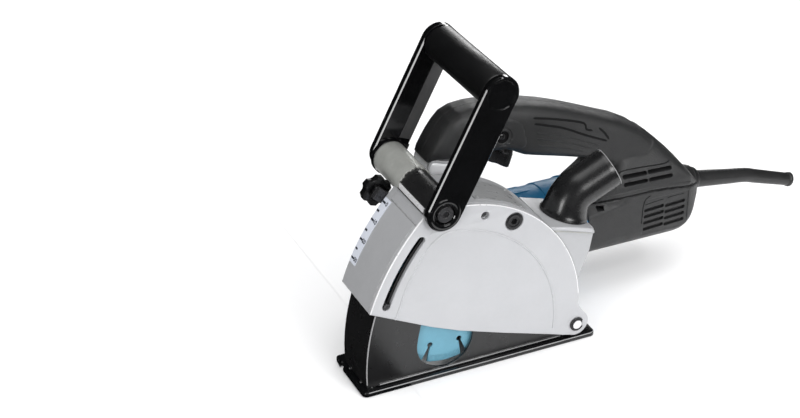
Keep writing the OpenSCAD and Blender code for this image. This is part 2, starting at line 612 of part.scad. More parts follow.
module lock_nut() color(steel) difference() {
  ycyl(sx, sz, -23.8, wheel_near_y, 16.4);
  ycyl(sx, sz, -30, 0, 7);
  for (a = [45:90:320]) ycyl(sx + 13 * cos(a), sz + 13 * sin(a), -25, -21.6, 2);
}

// ---------- armature ----------
module armature_shaft() color(steel) {
  xcyl(-102, -96, my, sz, 2.6);
  xcyl(-96.1, -89, my, sz, 4);
  xcyl(-89.1, -79, my, sz, 4.6);
  xcyl(-79.1, -70.8, my, sz, 5);
  xcyl(-70.9, 91, my, sz, 5.4);
  xcyl(90.9, 98.6, my, sz, 4);
}
module armature_core() color([0.5, 0.42, 0.36]) difference() {
  union() { xcyl(-26, 28, my, sz, 23.6); xcyl(-34, 36, my, sz, 17); }
  xcyl(-40, 40, my, sz, 5.4);
  for (i = [0:11]) translate([0, my, sz]) rotate([30 * i, 0, 0]) box([-27, -1.2, 19.6], [29, 1.2, 26]);
}
module commutator() color([0.72, 0.45, 0.25]) difference() {
  xcyl(44, 64, my, sz, 13);
  xcyl(43, 65, my, sz, 5.4);
}
module cooling_fan() color([0.2, 0.2, 0.2]) difference() {
  union() {
    xcyl(-56, -54, my, sz, 28);
    xcyl(-56, -44, my, sz, 9);
    for (i = [0:11]) translate([0, my, sz]) rotate([30 * i, 0, 0]) box([-54.1, -0.8, 8], [-45, 0.8, 27.4]);
  }
  xcyl(-60, -40, my, sz, 5.4);
}
module pinion_gear() color(steel) difference() {
  xex(-100.7, -96.2) translate([my, sz]) union() {
    circle(r = 4.3);
    for (i = [0:9]) rotate(36 * i + 18) polygon([[3.6, -0.68], [5.3, -0.5], [6.2, -0.3], [6.2, 0.3], [5.3, 0.5], [3.6, 0.68]]);
  }
  xcyl(-105, -90, my, sz, 2.6);
}

// ---------- controls ----------
module trigger() color(black) difference() {
  yex(my - 6.8, my + 6.8) polygon([[-52, 155], [-50, 146], [-46, 141.4], [-36, 136.6], [-27, 130.8], [-24.6, 130.4], [-22.8, 137], [-21.2, 141.4], [-20.6, 150], [-27, 155.4], [-46, 158]]);
  ycyl(-48.5, 154, my - 10, my + 10, 1.6);
}
module lock_button() color(black) {
  ycyl(-38.5, 167.5, my - 17.2, my - 12, 3);
  ycyl(-38.5, 167.5, my - 14.2, my - 12.6, 4.4);
}
module shaft_lock() color(black) {
  translate([sx, 42.5, 89.5]) cylinder(r = 3, h = 9);
  translate([sx, 42.5, 97.4]) cylinder(r = 5.8, h = 6);
}

// ---------- front grip ----------
module grip_place() translate([gx, 0, gz]) rotate([0, grip_lean, 0]) children();
module arm(y0, y1) {
  ycyl(0, 0, y0, y1, 15);
  ycyl(0, grip_len, y0, y1, 15);
  box([-15, y0, 0], [15, y1, grip_len]);
}
module grip_arm_near() color(black) grip_place() difference() {
  arm(arm_y0, arm_y1);
  // long shallow panel on the outer face
  box([-11, arm_y0 - 1, 20], [11, arm_y0 + 0.5, 78]);
  yring(0, 0, arm_y0 - 1, arm_y0 + 1, 13.4, 11.2);
  ycyl(0, 0, arm_y0 - 1, arm_y1 + 1, 4.2);
  ycyl(0, 0, arm_y0 - 1, arm_y0 + 4, 8);
}
module grip_arm_far() color(black) grip_place() difference() {
  arm(arm_y2, arm_y3);
  box([-11, arm_y3 - 0.5, 20], [11, arm_y3 + 1, 78]);
  ycyl(0, 0, arm_y2 - 1, arm_y3 + 1, 4.2);
  ycyl(0, 0, arm_y3 - 4, arm_y3 + 1, 8);
}
module grip_tube() color(black) grip_place() difference() {
  ycyl(0, grip_len, arm_y1, arm_y2, tube_r);
  ycyl(0, grip_len, arm_y1 - 1, arm_y2 + 1, tube_r - 3);
}
module toothed_sleeve() color(black) grip_place() difference() {
  ycyl(0, 0, arm_y1, 20.6, sleeve_r);
  ycyl(0, 0, arm_y1 - 1, 30, 8.06);
  // wavy end
  for (i = [0:11]) rotate([0, 30 * i, 0]) translate([12, 20.9, 0]) rotate([0, 90, 0]) cylinder(r = 2.6, h = 12, center = true, $fn = 36);
}
module grip_bolts() color(steel) {
  difference() {
    union() { ycyl(gx, gz, arm_y0 + 0.4, arm_y0 + 4, 6.5); ycyl(gx, gz, arm_y0 + 3.9, -10, 4); }
    translate([gx, arm_y0 + 3, gz]) rotate([90, 0, 0]) cylinder(r = 3.4, h = 5, $fn = 6);
  }
  difference() {
    union() { ycyl(gx, gz, arm_y3 - 4, arm_y3 - 0.4, 6.5); ycyl(gx, gz, 52, arm_y3 - 3.9, 4); }
    translate([gx, arm_y3 + 3, gz]) rotate([90, 0, 0]) cylinder(r = 3.4, h = 5, $fn = 6);
  }
}

// ---------- dust elbow ----------
elbow_a = 49.5;          // bend of the elbow
elbow_R = 30;            // bend radius
elbow_s = 5.7;           // straight part over the duct mouth
elbow_e = 25.9;          // straight part after the bend
module elbow_path(ro, e) {
  cylinder(r = ro, h = elbow_s);
  translate([elbow_R, 0, elbow_s]) rotate([90, 0, 0]) rotate([0, 0, 180 - elbow_a]) rotate_extrude(angle = elbow_a, $fn = 72) translate([elbow_R, 0]) circle(r = ro);
  translate([elbow_R, 0, elbow_s]) rotate([0, elbow_a, 0]) translate([-elbow_R, 0, 0]) cylinder(r = ro, h = e);
}
module dust_elbow() color(black) duct_axis() difference() {
  union() {
    elbow_path(16.9, elbow_e);
    translate([0, 0, 0.4]) cylinder(r = 20.4, h = 2.4);
    translate([0, 0, 2.8]) cylinder(r1 = 20.4, r2 = 17.5, h = 2);
    translate([0, 0, 4.7]) cylinder(r = 17.5, h = 2);
    // spigot that turns in the mouth
    translate([0, 0, -8]) cylinder(r = 16.54, h = 8.4);
  }
  elbow_path(14.6, elbow_e + 1);
  translate([0, 0, -9]) cylinder(r = 14.6, h = 9);
}
module elbow_ring() color([0.15, 0.15, 0.15]) duct_axis() difference() {
  translate([0, 0, -3.15]) cylinder(r = 18.8, h = 2.9);
  translate([0, 0, -4]) cylinder(r = 16.6, h = 6);
}

// ---------- depth stop ----------
stop_a = 139.5;
stop_x = -151;
stop_z = 146.2;
module depth_stop() color(black) {
  difference() {
    translate([0, 0, pin_z]) rotate([0, -stop_a, 0]) box([187, cy1 + 0.4, -5], [204, cy1 + 5, 5]);
    translate([0, 0, pin_z]) rotate([0, -stop_a, 0]) box([190, cy1 + 4, -2.4], [194, cy1 + 9, 2.4]);
  }
  ycyl(stop_x, stop_z, cy1 + 4, cy1 + 13.6, 3);
}
module star_knob() color(black) difference() {
  union() {
    ycyl(stop_x, stop_z, cy1 + 5.6, cy1 + 7.6, 6);
    ycyl(stop_x, stop_z, cy1 + 7.4, cy1 + 15.4, 9.8);
    for (i = [0:5]) ycyl(stop_x + 8.3 * cos(60 * i + 15), stop_z + 8.3 * sin(60 * i + 15), cy1 + 7.4, cy1 + 15.4, 4);
  }
  ycyl(stop_x, stop_z, cy1 + 5, cy1 + 13.8, 3.05);
}

base_plate();
inner_guard();
guard_screws();
guide_pin();
wheel_case();
side_cover();
cover_bolt();
slot_seal();
top_plate();
depth_scale();
pivot_pin();
pin_clips();
return_spring();
gear_housing();
gear_cover();
gear_cover_screws();
bearing_near();
bearing_far();
motor_housing();
field_stator();
bearing_front();
bearing_rear();
rear_housing();
brush_holders();
carbon_brushes();
handle_near();
handle_far();
handle_screws();
trigger_pin();
switch_block();
cord_guard();
spindle();
ring_gear();
inner_flange();
wheel_far();
spacer_rings();
wheel_near();
lock_nut();
armature_shaft();
armature_core();
commutator();
cooling_fan();
pinion_gear();
trigger();
lock_button();
shaft_lock();
grip_arm_near();
grip_arm_far();
grip_tube();
toothed_sleeve();
grip_bolts();
dust_elbow();
elbow_ring();
depth_stop();
star_knob();
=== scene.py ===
import bpy, bmesh, math
from math import sin, cos, pi, radians, sqrt, atan2, hypot
from mathutils import Vector, Matrix
from mathutils.bvhtree import BVHTree


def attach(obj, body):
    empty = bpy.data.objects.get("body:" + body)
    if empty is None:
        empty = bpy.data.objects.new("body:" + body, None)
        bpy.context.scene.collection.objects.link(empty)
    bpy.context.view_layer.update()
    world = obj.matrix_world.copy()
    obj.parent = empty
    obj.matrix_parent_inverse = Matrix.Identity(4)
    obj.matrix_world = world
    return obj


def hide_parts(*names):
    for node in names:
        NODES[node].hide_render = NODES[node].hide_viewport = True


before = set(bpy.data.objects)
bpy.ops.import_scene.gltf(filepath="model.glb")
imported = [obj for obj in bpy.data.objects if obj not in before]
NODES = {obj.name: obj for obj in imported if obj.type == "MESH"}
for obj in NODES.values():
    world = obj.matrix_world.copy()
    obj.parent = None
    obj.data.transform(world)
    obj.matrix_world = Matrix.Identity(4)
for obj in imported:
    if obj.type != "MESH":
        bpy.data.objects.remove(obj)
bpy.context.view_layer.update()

MM = 0.001
SC = bpy.context.scene

# main sizes, in millimetres, the same as the solid model's
PIN_Z, CASE_R, C2 = 17.2, 195.5, (-117.4, 37.4, 118.4)
SX, SZ, MY = -115.0, 66.7, 56.0
GX, GZ, LEAN, GL = -125.7, 155.9, radians(26.8), 102.0
PLATE_T = 4.2


# ------------------------------------------------------------------ mesh help
def link(name, me):
    ob = bpy.data.objects.new(name, me)
    SC.collection.objects.link(ob)
    return ob


def smooth(ob, angle=35.0):
    me = ob.data
    me.polygons.foreach_set("use_smooth", [True] * len(me.polygons))
    if angle < 180:
        me.set_sharp_from_angle(angle=radians(angle))
    me.update()
    return ob


def mesh_obj(name, verts, faces, angle=35.0, scale=MM):
    me = bpy.data.meshes.new(name)
    me.from_pydata([Vector(v) * scale for v in verts], [], faces)
    me.validate()
    bm = bmesh.new()
    bm.from_mesh(me)
    bmesh.ops.recalc_face_normals(bm, faces=bm.faces)
    bm.to_mesh(me)
    bm.free()
    return smooth(link(name, me), angle)


def plate(name, loops, lo, hi, bev=0.6, res=3, axis="Y", angle=30.0):
    """A flat piece with rounded edges: closed outlines, thickness from lo to hi along axis."""
    cu = bpy.data.curves.new(name, "CURVE")
    cu.dimensions = "2D"
    cu.fill_mode = "BOTH"
    for loop in loops:
        sp = cu.splines.new("POLY")
        sp.points.add(len(loop) - 1)
        for p, q in zip(sp.points, loop):
            p.co = (q[0] * MM, q[1] * MM, 0, 1)
        sp.use_cyclic_u = True
    b = bev * MM
    cu.extrude = max((hi - lo) / 2 * MM - b, 0)
    cu.bevel_depth = b
    cu.bevel_resolution = res
    cu.offset = -b
    ob = link(name + "_c", cu)
    dg = bpy.context.evaluated_depsgraph_get()
    me = bpy.data.meshes.new_from_object(ob.evaluated_get(dg))
    bpy.data.objects.remove(ob)
    mid = (lo + hi) / 2 * MM
    if axis == "Y":
        m = Matrix(((1, 0, 0, 0), (0, 0, -1, mid), (0, 1, 0, 0), (0, 0, 0, 1)))
    elif axis == "X":
        m = Matrix(((0, 0, 1, mid), (1, 0, 0, 0), (0, 1, 0, 0), (0, 0, 0, 1)))
    else:
        m = Matrix.Translation((0, 0, mid))
    me.transform(m)
    bm = bmesh.new()
    bm.from_mesh(me)
    bmesh.ops.remove_doubles(bm, verts=bm.verts, dist=1e-6)
    bmesh.ops.recalc_face_normals(bm, faces=bm.faces)
    bm.to_mesh(me)
    bm.free()
    me.name = name
    return smooth(link(name, me), angle)


def frame_of(d):
    d = Vector(d).normalized()
    u = Vector((0, 0, 1)) if abs(d.z) < 0.9 else Vector((1, 0, 0))
    u = (u - d * u.dot(d)).normalized()
    return d, u, d.cross(u)


def lathe(name, prof, origin, axis, segs=64, angle=35.0, wave=None):
    """Turns a profile of (radius, height) round an axis."""
    d, u, v = frame_of(axis)
    o = Vector(origin)
    verts, faces, rings = [], [], []
    for r, h in prof:
        if r < 1e-6:
            rings.append([len(verts)])
            verts.append(o + d * h)
            continue
        ring = []
        for i in range(segs):
            a = 2 * pi * i / segs
            hh = h + (wave(a, r, h) if wave else 0)
            ring.append(len(verts))
            verts.append(o + d * hh + (u * cos(a) + v * sin(a)) * r)
        rings.append(ring)
    for A, B in zip(rings, rings[1:]):
        for i in range(segs):
            j = (i + 1) % segs
            if len(A) == 1 and len(B) == 1:
                continue
            if len(A) == 1:
                faces.append((A[0], B[i], B[j]))
            elif len(B) == 1:
                faces.append((A[i], A[j], B[0]))
            else:
                faces.append((A[i], A[j], B[j], B[i]))
    return mesh_obj(name, verts, faces, angle)


def resample(pts, step):
    """Catmull-Rom through the points, in roughly equal steps."""
    P = [Vector(p) for p in pts]
    P = [P[0] * 2 - P[1]] + P + [P[-1] * 2 - P[-2]]
    out = []
    for i in range(1, len(P) - 2):
        n = max(1, int((P[i + 1] - P[i]).length / step))
        for k in range(n):
            t = k / n
            a, b, c, d = P[i - 1], P[i], P[i + 1], P[i + 2]
            out.append(0.5 * ((2 * b) + (c - a) * t + (2 * a - 5 * b + 4 * c - d) * t * t + (3 * b - a - 3 * c + d) * t ** 3))
    out.append(P[-2])
    return out


def sweep(name, path, radii, segs=32, caps=True, angle=35.0, flat=1.0):
    path = [Vector(p) for p in path]
    n = len(path)
    if not hasattr(radii, "__len__"):
        radii = [radii] * n
    tan = []
    for i in range(n):
        a, b = path[max(i - 1, 0)], path[min(i + 1, n - 1)]
        tan.append((b - a).normalized() if (b - a).length > 1e-9 else Vector((1, 0, 0)))
    u = frame_of(tan[0])[1]
    verts, faces = [], []
    for i in range(n):
        u = (u - tan[i] * u.dot(tan[i])).normalized()
        v = tan[i].cross(u)
        for k in range(segs):
            a = 2 * pi * k / segs
            verts.append(path[i] + (u * cos(a) + v * sin(a) * flat) * radii[i])
    for i in range(n - 1):
        for k in range(segs):
            j = (k + 1) % segs
            faces.append((i * segs + k, i * segs + j, (i + 1) * segs + j, (i + 1) * segs + k))
    if caps:
        faces.append(tuple(reversed(range(segs))))
        faces.append(tuple((n - 1) * segs + k for k in range(segs)))
    return mesh_obj(name, verts, faces, angle)


def loft(name, rings, caps=True, angle=35.0):
    verts, faces = [], []
    m = len(rings[0])
    for r in rings:
        verts += [Vector(p) for p in r]
    for i in range(len(rings) - 1):
        for k in range(m):
            j = (k + 1) % m
            faces.append((i * m + k, i * m + j, (i + 1) * m + j, (i + 1) * m + k))
    if caps:
        for base, rev in ((0, True), ((len(rings) - 1) * m, False)):
            c = len(verts)
            verts.append(sum((verts[base + k] for k in range(m)), Vector()) / m)
            for k in range(m):
                j = (k + 1) % m
                faces.append((base + j, base + k, c) if rev else (base + k, base + j, c))
    return mesh_obj(name, verts, faces, angle)


def box_mesh(name, lo, hi, rot=None):
    x0, y0, z0 = lo
    x1, y1, z1 = hi
    v = [Vector(p) for p in ((x0, y0, z0), (x1, y0, z0), (x1, y1, z0), (x0, y1, z0), (x0, y0, z1), (x1, y0, z1), (x1, y1, z1), (x0, y1, z1))]
    if rot:
        a, (cx, cz) = rot
        v = [Vector((cx + (p.x - cx) * cos(a) + (p.z - cz) * sin(a), p.y, cz - (p.x - cx) * sin(a) + (p.z - cz) * cos(a))) for p in v]
    return mesh_obj(name, v, [(0, 3, 2, 1), (4, 5, 6, 7), (0, 1, 5, 4), (1, 2, 6, 5), (2, 3, 7, 6), (3, 0, 4, 7)])


def evaluated(ob):
    dg = bpy.context.evaluated_depsgraph_get()
    me = bpy.data.meshes.new_from_object(ob.evaluated_get(dg))
    old = ob.data
    ob.modifiers.clear()
    ob.data = me
    bpy.data.meshes.remove(old)
    return ob


def join(name, obs):
    bm = bmesh.new()
    for o in obs:
        bm.from_mesh(o.data)
    me = bpy.data.meshes.new(name)
    bm.to_mesh(me)
    bm.free()
    for o in obs:
        bpy.data.objects.remove(o)
    return link(name, me)


def cut(ob, cutters, op="DIFFERENCE"):
    c = join("cutter", cutters) if len(cutters) > 1 else cutters[0]
    m = ob.modifiers.new("b", "BOOLEAN")
    m.operation, m.solver, m.object = op, "EXACT", c
    m.use_self = len(cutters) > 1
    evaluated(ob)
    bpy.data.objects.remove(c)
    return ob


def remesh(ob, voxel=1.2, rounds=6, factor=0.5):
    m = ob.modifiers.new("r", "REMESH")
    m.mode, m.voxel_size, m.adaptivity = "VOXEL", voxel * MM, 0.0
    if rounds:
        s = ob.modifiers.new("s", "SMOOTH")
        s.factor, s.iterations = factor, rounds
    evaluated(ob)
    return smooth(ob, 180)


# ------------------------------------------------------------------ materials
def material(name, base, rough=0.5, metal=0.0, vary=0.08, vscale=55.0, rvary=0.08, grain=0.12, gscale=1400.0,
             gdist=0.00012, kind="plain", bevel=0.5, edge=0.0, edge_col=None, coat=0.0, coat_rough=0.1, spec=0.5, dust=0.0):
    m = bpy.data.materials.new(name)
    m.use_nodes = True
    nt = m.node_tree
    nt.nodes.clear()
    N = nt.nodes.new
    L = nt.links.new
    out = N("ShaderNodeOutputMaterial")
    bs = N("ShaderNodeBsdfPrincipled")
    L(bs.outputs[0], out.inputs[0])
    bs.inputs["Metallic"].default_value = metal
    bs.inputs["Specular IOR Level"].default_value = spec
    bs.inputs["Coat Weight"].default_value = coat
    bs.inputs["Coat Roughness"].default_value = coat_rough
    tc = N("ShaderNodeTexCoord")
    mp = N("ShaderNodeMapping")
    L(tc.outputs["Object"], mp.inputs[0])
    if kind == "brushed_x":
        mp.inputs["Scale"].default_value = (0.04, 1, 1)
    elif kind == "brushed_y":
        mp.inputs["Scale"].default_value = (1, 0.04, 1)
    # broad, soft change of tone
    n1 = N("ShaderNodeTexNoise")
    n1.inputs["Scale"].default_value = vscale
    n1.inputs["Detail"].default_value = 4
    L(tc.outputs["Object"], n1.inputs["Vector"])
    # fine mottling
    n2 = N("ShaderNodeTexNoise")
    n2.inputs["Scale"].default_value = gscale * 0.35
    n2.inputs["Detail"].default_value = 3
    L(mp.outputs[0], n2.inputs["Vector"])
    mixf = N("ShaderNodeMath")
    mixf.operation = "MULTIPLY_ADD"
    L(n1.outputs["Fac"], mixf.inputs[0])
    mixf.inputs[1].default_value = 0.7
    half = N("ShaderNodeMath")
    half.operation = "MULTIPLY"
    L(n2.outputs["Fac"], half.inputs[0])
    half.inputs[1].default_value = 0.3
    L(half.outputs[0], mixf.inputs[2])
    ramp = N("ShaderNodeMapRange")
    ramp.inputs[1].default_value, ramp.inputs[2].default_value = 0.3, 0.7
    L(mixf.outputs[0], ramp.inputs[0])
    mc = N("ShaderNodeMix")
    mc.data_type = "RGBA"
    lo = [c * (1 - vary) for c in base]
    hi = [min(c * (1 + vary), 1) for c in base]
    mc.inputs[6].default_value = (*lo, 1)
    mc.inputs[7].default_value = (*hi, 1)
    L(ramp.outputs[0], mc.inputs[0])
    colour = mc.outputs[2]
    # rounded edges in the shading, and paler edges: partly wear, partly a painted highlight along the rims
    bv = N("ShaderNodeBevel")
    bv.samples = 6
    bv.inputs["Radius"].default_value = bevel * MM
    if edge > 0:
        geo = N("ShaderNodeNewGeometry")
        dot = N("ShaderNodeVectorMath")
        dot.operation = "DOT_PRODUCT"
        L(bv.outputs[0], dot.inputs[0])
        L(geo.outputs["Normal"], dot.inputs[1])
        mr = N("ShaderNodeMapRange")
        mr.inputs[1].default_value, mr.inputs[2].default_value = 0.985, 0.86
        mr.inputs[3].default_value, mr.inputs[4].default_value = 0.0, edge
        L(dot.outputs["Value"], mr.inputs[0])
        nw = N("ShaderNodeTexNoise")
        nw.inputs["Scale"].default_value = 260
        L(tc.outputs["Object"], nw.inputs["Vector"])
        wr = N("ShaderNodeMapRange")
        wr.inputs[1].default_value, wr.inputs[2].default_value = 0.35, 0.6
        L(nw.outputs["Fac"], wr.inputs[0])
        mu = N("ShaderNodeMath")
        mu.operation = "MULTIPLY"
        L(mr.outputs[0], mu.inputs[0])
        L(wr.outputs[0], mu.inputs[1])
        me = N("ShaderNodeMix")
        me.data_type = "RGBA"
        L(mu.outputs[0], me.inputs[0])
        L(colour, me.inputs[6])
        me.inputs[7].default_value = (*(edge_col or [min(c * 2.2 + 0.05, 1) for c in base]), 1)
        colour = me.outputs[2]
    if dust > 0:
        nd = N("ShaderNodeTexNoise")
        nd.inputs["Scale"].default_value = 18
        nd.inputs["Detail"].default_value = 8
        nd.inputs["Roughness"].default_value = 0.7
        L(tc.outputs["Object"], nd.inputs["Vector"])
        dr = N("ShaderNodeMapRange")
        dr.inputs[1].default_value, dr.inputs[2].default_value = 0.5, 0.75
        dr.inputs[4].default_value = dust
        L(nd.outputs["Fac"], dr.inputs[0])
        md = N("ShaderNodeMix")
        md.data_type = "RGBA"
        L(dr.outputs[0], md.inputs[0])
        L(colour, md.inputs[6])
        md.inputs[7].default_value = (0.34, 0.32, 0.29, 1)
        colour = md.outputs[2]
    L(colour, bs.inputs["Base Color"])
    n3 = N("ShaderNodeTexNoise")
    n3.inputs["Scale"].default_value = vscale * 3
    n3.inputs["Detail"].default_value = 5
    L(mp.outputs[0], n3.inputs["Vector"])
    rr = N("ShaderNodeMapRange")
    rr.inputs[1].default_value, rr.inputs[2].default_value = 0.3, 0.7
    rr.inputs[3].default_value, rr.inputs[4].default_value = max(rough - rvary, 0.02), min(rough + rvary, 1)
    L(n3.outputs["Fac"], rr.inputs[0])
    L(rr.outputs[0], bs.inputs["Roughness"])
    # surface grain
    if kind == "leather":
        g = N("ShaderNodeTexVoronoi")
        g.inputs["Scale"].default_value = gscale
        gout = g.outputs["Distance"]
    else:
        g = N("ShaderNodeTexNoise")
        g.inputs["Scale"].default_value = gscale
        g.inputs["Detail"].default_value = 3 if kind != "cast" else 6
        gout = g.outputs["Fac"]
    L(mp.outputs[0], g.inputs["Vector"])
    bump = N("ShaderNodeBump")
    bump.inputs["Strength"].default_value = grain
    bump.inputs["Distance"].default_value = gdist
    L(gout, bump.inputs["Height"])
    L(bv.outputs[0], bump.inputs["Normal"])
    L(bump.outputs[0], bs.inputs["Normal"])
    return m


M = {
    # the pale edge colours of the two silvers are mostly a painted highlight along the chamfers
    "silver": material("silver_enamel", (0.435, 0.44, 0.455), 0.40, 0.18, 0.025, 40, 0.05, 0.30, 900, 0.00008, "cast", 0.9, 0.45, (0.80, 0.80, 0.81)),
    "silver_in": material("silver_case", (0.385, 0.39, 0.402), 0.42, 0.20, 0.04, 45, 0.06, 0.45, 700, 0.00012, "cast", 1.2, 0.45, (0.78, 0.78, 0.79)),
    "cast": material("cast_grey", (0.385, 0.392, 0.37), 0.44, 0.30, 0.14, 70, 0.08, 0.6, 620, 0.00022, "cast", 0.7, 0.4, (0.52, 0.50, 0.45)),
    "enamel": material("black_enamel", (0.0045, 0.0047, 0.0052), 0.18, 0.0, 0.16, 60, 0.05, 0.15, 800, 0.00006, "plain", 0.35, 0.35, (0.20, 0.20, 0.205), 0.0, 0.2, 0.5),
    "guard": material("guard_enamel", (0.0085, 0.0085, 0.009), 0.30, 0.0, 0.12, 45, 0.04, 0.07, 800, 0.00005, "plain", 1.4, 0.5, (0.16, 0.16, 0.16), 0.0, 0.3, 0.6),
    "gloss": material("gloss_black", (0.0032, 0.0033, 0.0036), 0.10, 0.0, 0.2, 50, 0.03, 0.06, 500, 0.00004, "plain", 0.18, 0.35, (0.16, 0.16, 0.16), 0.0, 0.05, 0.5),
    "satin": material("satin_black", (0.0060, 0.0060, 0.0064), 0.28, 0.0, 0.2, 60, 0.06, 0.25, 900, 0.00010, "plain", 0.6, 0.4, (0.12, 0.12, 0.12), 0.0, 0.2, 0.5),
    "dark": material("dark_grey_moulding", (0.0165, 0.0168, 0.0174), 0.44, 0.0, 0.12, 50, 0.07, 0.7, 1300, 0.00026, "leather", 0.7, 0.4, (0.09, 0.09, 0.095), dust=0.02, spec=0.5),
    # near-black paint laid in grooves, gaps, sockets and recesses: painted shade
    "groove": material("groove_shadow", (0.004, 0.004, 0.0045), 0.6, 0.0, 0.2, 50, 0.07, 0.3, 1500, 0.0001, "plain", 0.3, spec=0.2),
    "blue": material("blue_moulding", (0.010, 0.145, 0.30), 0.42, 0.0, 0.09, 50, 0.06, 0.45, 1500, 0.00016, "leather", 0.8, 0.35, (0.07, 0.27, 0.42), spec=0.4),
    "rubber": material("black_rubber", (0.0125, 0.0125, 0.0130), 0.42, 0.0, 0.15, 60, 0.07, 0.4, 1100, 0.00014, "plain", 0.5, 0.2, (0.07, 0.07, 0.07), spec=0.5),
    "steel": material("turned_steel", (0.58, 0.58, 0.59), 0.28, 0.95, 0.08, 80, 0.07, 0.2, 1200, 0.00005, "brushed_y", 0.35, 0.3, (0.85, 0.85, 0.86)),
    "steel_dark": material("blackened_steel", (0.045, 0.045, 0.048), 0.28, 0.6, 0.15, 90, 0.08, 0.25, 1200, 0.00006, "plain", 0.3, 0.6, (0.42, 0.42, 0.42), spec=0.5),
    "black_steel": material("blued_steel", (0.012, 0.012, 0.013), 0.24, 0.3, 0.15, 90, 0.08, 0.25, 1200, 0.00006, "plain", 0.3, 0.5, (0.3, 0.3, 0.3)),
    "sleeve": material("sleeve_black", (0.0120, 0.0120, 0.0124), 0.33, 0.0, 0.25, 70, 0.08, 0.35, 700, 0.00014, "plain", 0.5, 0.4, (0.10, 0.10, 0.10)),
    "duct": material("elbow_black", (0.0085, 0.0086, 0.0090), 0.27, 0.0, 0.12, 40, 0.03, 0.10, 700, 0.00005, "plain", 0.4, spec=0.55),
    # pale paint standing in for highlights: rim beads of the cover, the saddle lip and the pin face
    "highlight_paint": material("pale_painted_highlight", (0.80, 0.80, 0.81), 0.30, 0.35, 0.05, 60, 0.05, 0.15, 900, 0.00005, "plain", 0.3, 0.2, (0.9, 0.9, 0.9)),
    "knob": material("knob_black", (0.0040, 0.0040, 0.0043), 0.24, 0.0, 0.2, 60, 0.05, 0.15, 900, 0.00006, "plain", 0.3, 0.3, (0.10, 0.10, 0.10)),
    # grey paint standing in for edge highlights: lines along the guard, the sole plate and the elbow's mouth
    "edge_highlight_paint": material("painted_edge_highlight", (0.30, 0.30, 0.305), 0.30, 0.1, 0.1, 60, 0.05, 0.2, 900, 0.00005, "plain", 0.2),
    # a lighter copy of the cast silver: painted light on the pedestal, whose faces the lamps leave dim
    "boss": material("pedestal_silver_lit_copy", (0.68, 0.685, 0.70), 0.36, 0.12, 0.03, 50, 0.05, 0.3, 900, 0.00008, "cast", 0.8, 0.3, (0.85, 0.85, 0.86)),
    # mid grey paint for the far arm's inner rear facet: a painted reflection
    "strip": material("painted_reflection_strip", (0.062, 0.062, 0.063), 0.42, 0.0, 0.12, 40, 0.06, 0.3, 900, 0.0001, "plain", 0.3),
    "tube": material("tube_black", (0.0042, 0.0043, 0.0046), 0.36, 0.0, 0.2, 50, 0.04, 0.12, 700, 0.00006, "plain", 0.25, 0.3, (0.12, 0.12, 0.12)),
    "wheel": material("wheel_lacquer", (0.124, 0.310, 0.405), 0.34, 0.12, 0.07, 60, 0.06, 0.2, 900, 0.00006, "plain", 0.25, 0.3, (0.34, 0.54, 0.66)),
    "segment": material("diamond_segment", (0.118, 0.295, 0.385), 0.50, 0.2, 0.16, 300, 0.1, 0.9, 2200, 0.00020, "plain", 0.25, 0.5, (0.42, 0.58, 0.66)),
    "scale": material("scale_strip", (0.60, 0.63, 0.70), 0.38, 0.05, 0.03, 60, 0.05, 0.1, 600, 0.00004, "plain", 0.2, 0.15, (0.74, 0.76, 0.8)),
    "ink": material("scale_ink", (0.010, 0.012, 0.020), 0.45, 0.0, 0.2, 200, 0.06, 0.1, 900, 0.00003, "plain", 0.1, spec=0.3),
    "label": material("bare_plate", (0.345, 0.35, 0.355), 0.32, 0.35, 0.12, 60, 0.07, 0.3, 900, 0.00006, "brushed_x", 0.3, 0.4, (0.7, 0.7, 0.7)),
    "brass": material("pressed_brass", (0.62, 0.46, 0.2), 0.32, 0.95, 0.08, 90, 0.07, 0.2, 1000, 0.00005, "plain", 0.3, 0.3, (0.8, 0.7, 0.4)),
    "copper": material("copper_segments", (0.58, 0.29, 0.16), 0.34, 0.95, 0.12, 90, 0.08, 0.2, 1000, 0.00005, "plain", 0.3, 0.3, (0.8, 0.5, 0.35)),
    "iron": material("core_iron", (0.24, 0.22, 0.21), 0.5, 0.6, 0.15, 90, 0.08, 0.5, 700, 0.00012, "cast", 0.4, 0.3, (0.5, 0.4, 0.3)),
}

NODE_MAT = {
    "base_plate": "enamel", "inner_guard": "guard", "guard_screws": "steel", "guide_pin": "steel_dark",
    "wheel_case": "silver_in", "side_cover": "silver", "cover_bolt": "black_steel", "slot_seal": "rubber", "top_plate": "label", "depth_scale": "scale",
    "pivot_pin": "steel", "pin_clips": "black_steel", "return_spring": "steel",
    "gear_housing": "silver_in", "gear_cover": "silver_in", "gear_cover_screws": "steel_dark", "bearing_near": "steel", "bearing_far": "steel",
    "motor_housing": "blue", "field_stator": "iron", "bearing_front": "steel", "bearing_rear": "steel", "rear_housing": "dark",
    "brush_holders": "brass", "carbon_brushes": "rubber", "handle_near": "dark", "handle_far": "dark", "handle_screws": "steel_dark",
    "trigger_pin": "steel", "switch_block": "satin", "cord_guard": "rubber",
    "spindle": "steel", "ring_gear": "steel", "inner_flange": "steel", "wheel_far": "wheel", "spacer_rings": "steel", "wheel_near": "wheel", "lock_nut": "steel",
    "armature_shaft": "steel", "armature_core": "iron", "commutator": "copper", "cooling_fan": "satin", "pinion_gear": "steel",
    "trigger": "satin", "lock_button": "satin", "shaft_lock": "satin",
    "grip_arm_near": "gloss", "grip_arm_far": "gloss", "grip_tube": "gloss", "toothed_sleeve": "satin", "grip_bolts": "steel_dark",
    "dust_elbow": "satin", "elbow_ring": "rubber", "depth_stop": "steel_dark", "star_knob": "satin"}
for n, o in NODES.items():
    mat = M[NODE_MAT.get(n, "steel")]
    if not o.data.materials:
        o.data.materials.append(mat)
    for i in range(len(o.data.materials)):
        o.data.materials[i] = mat


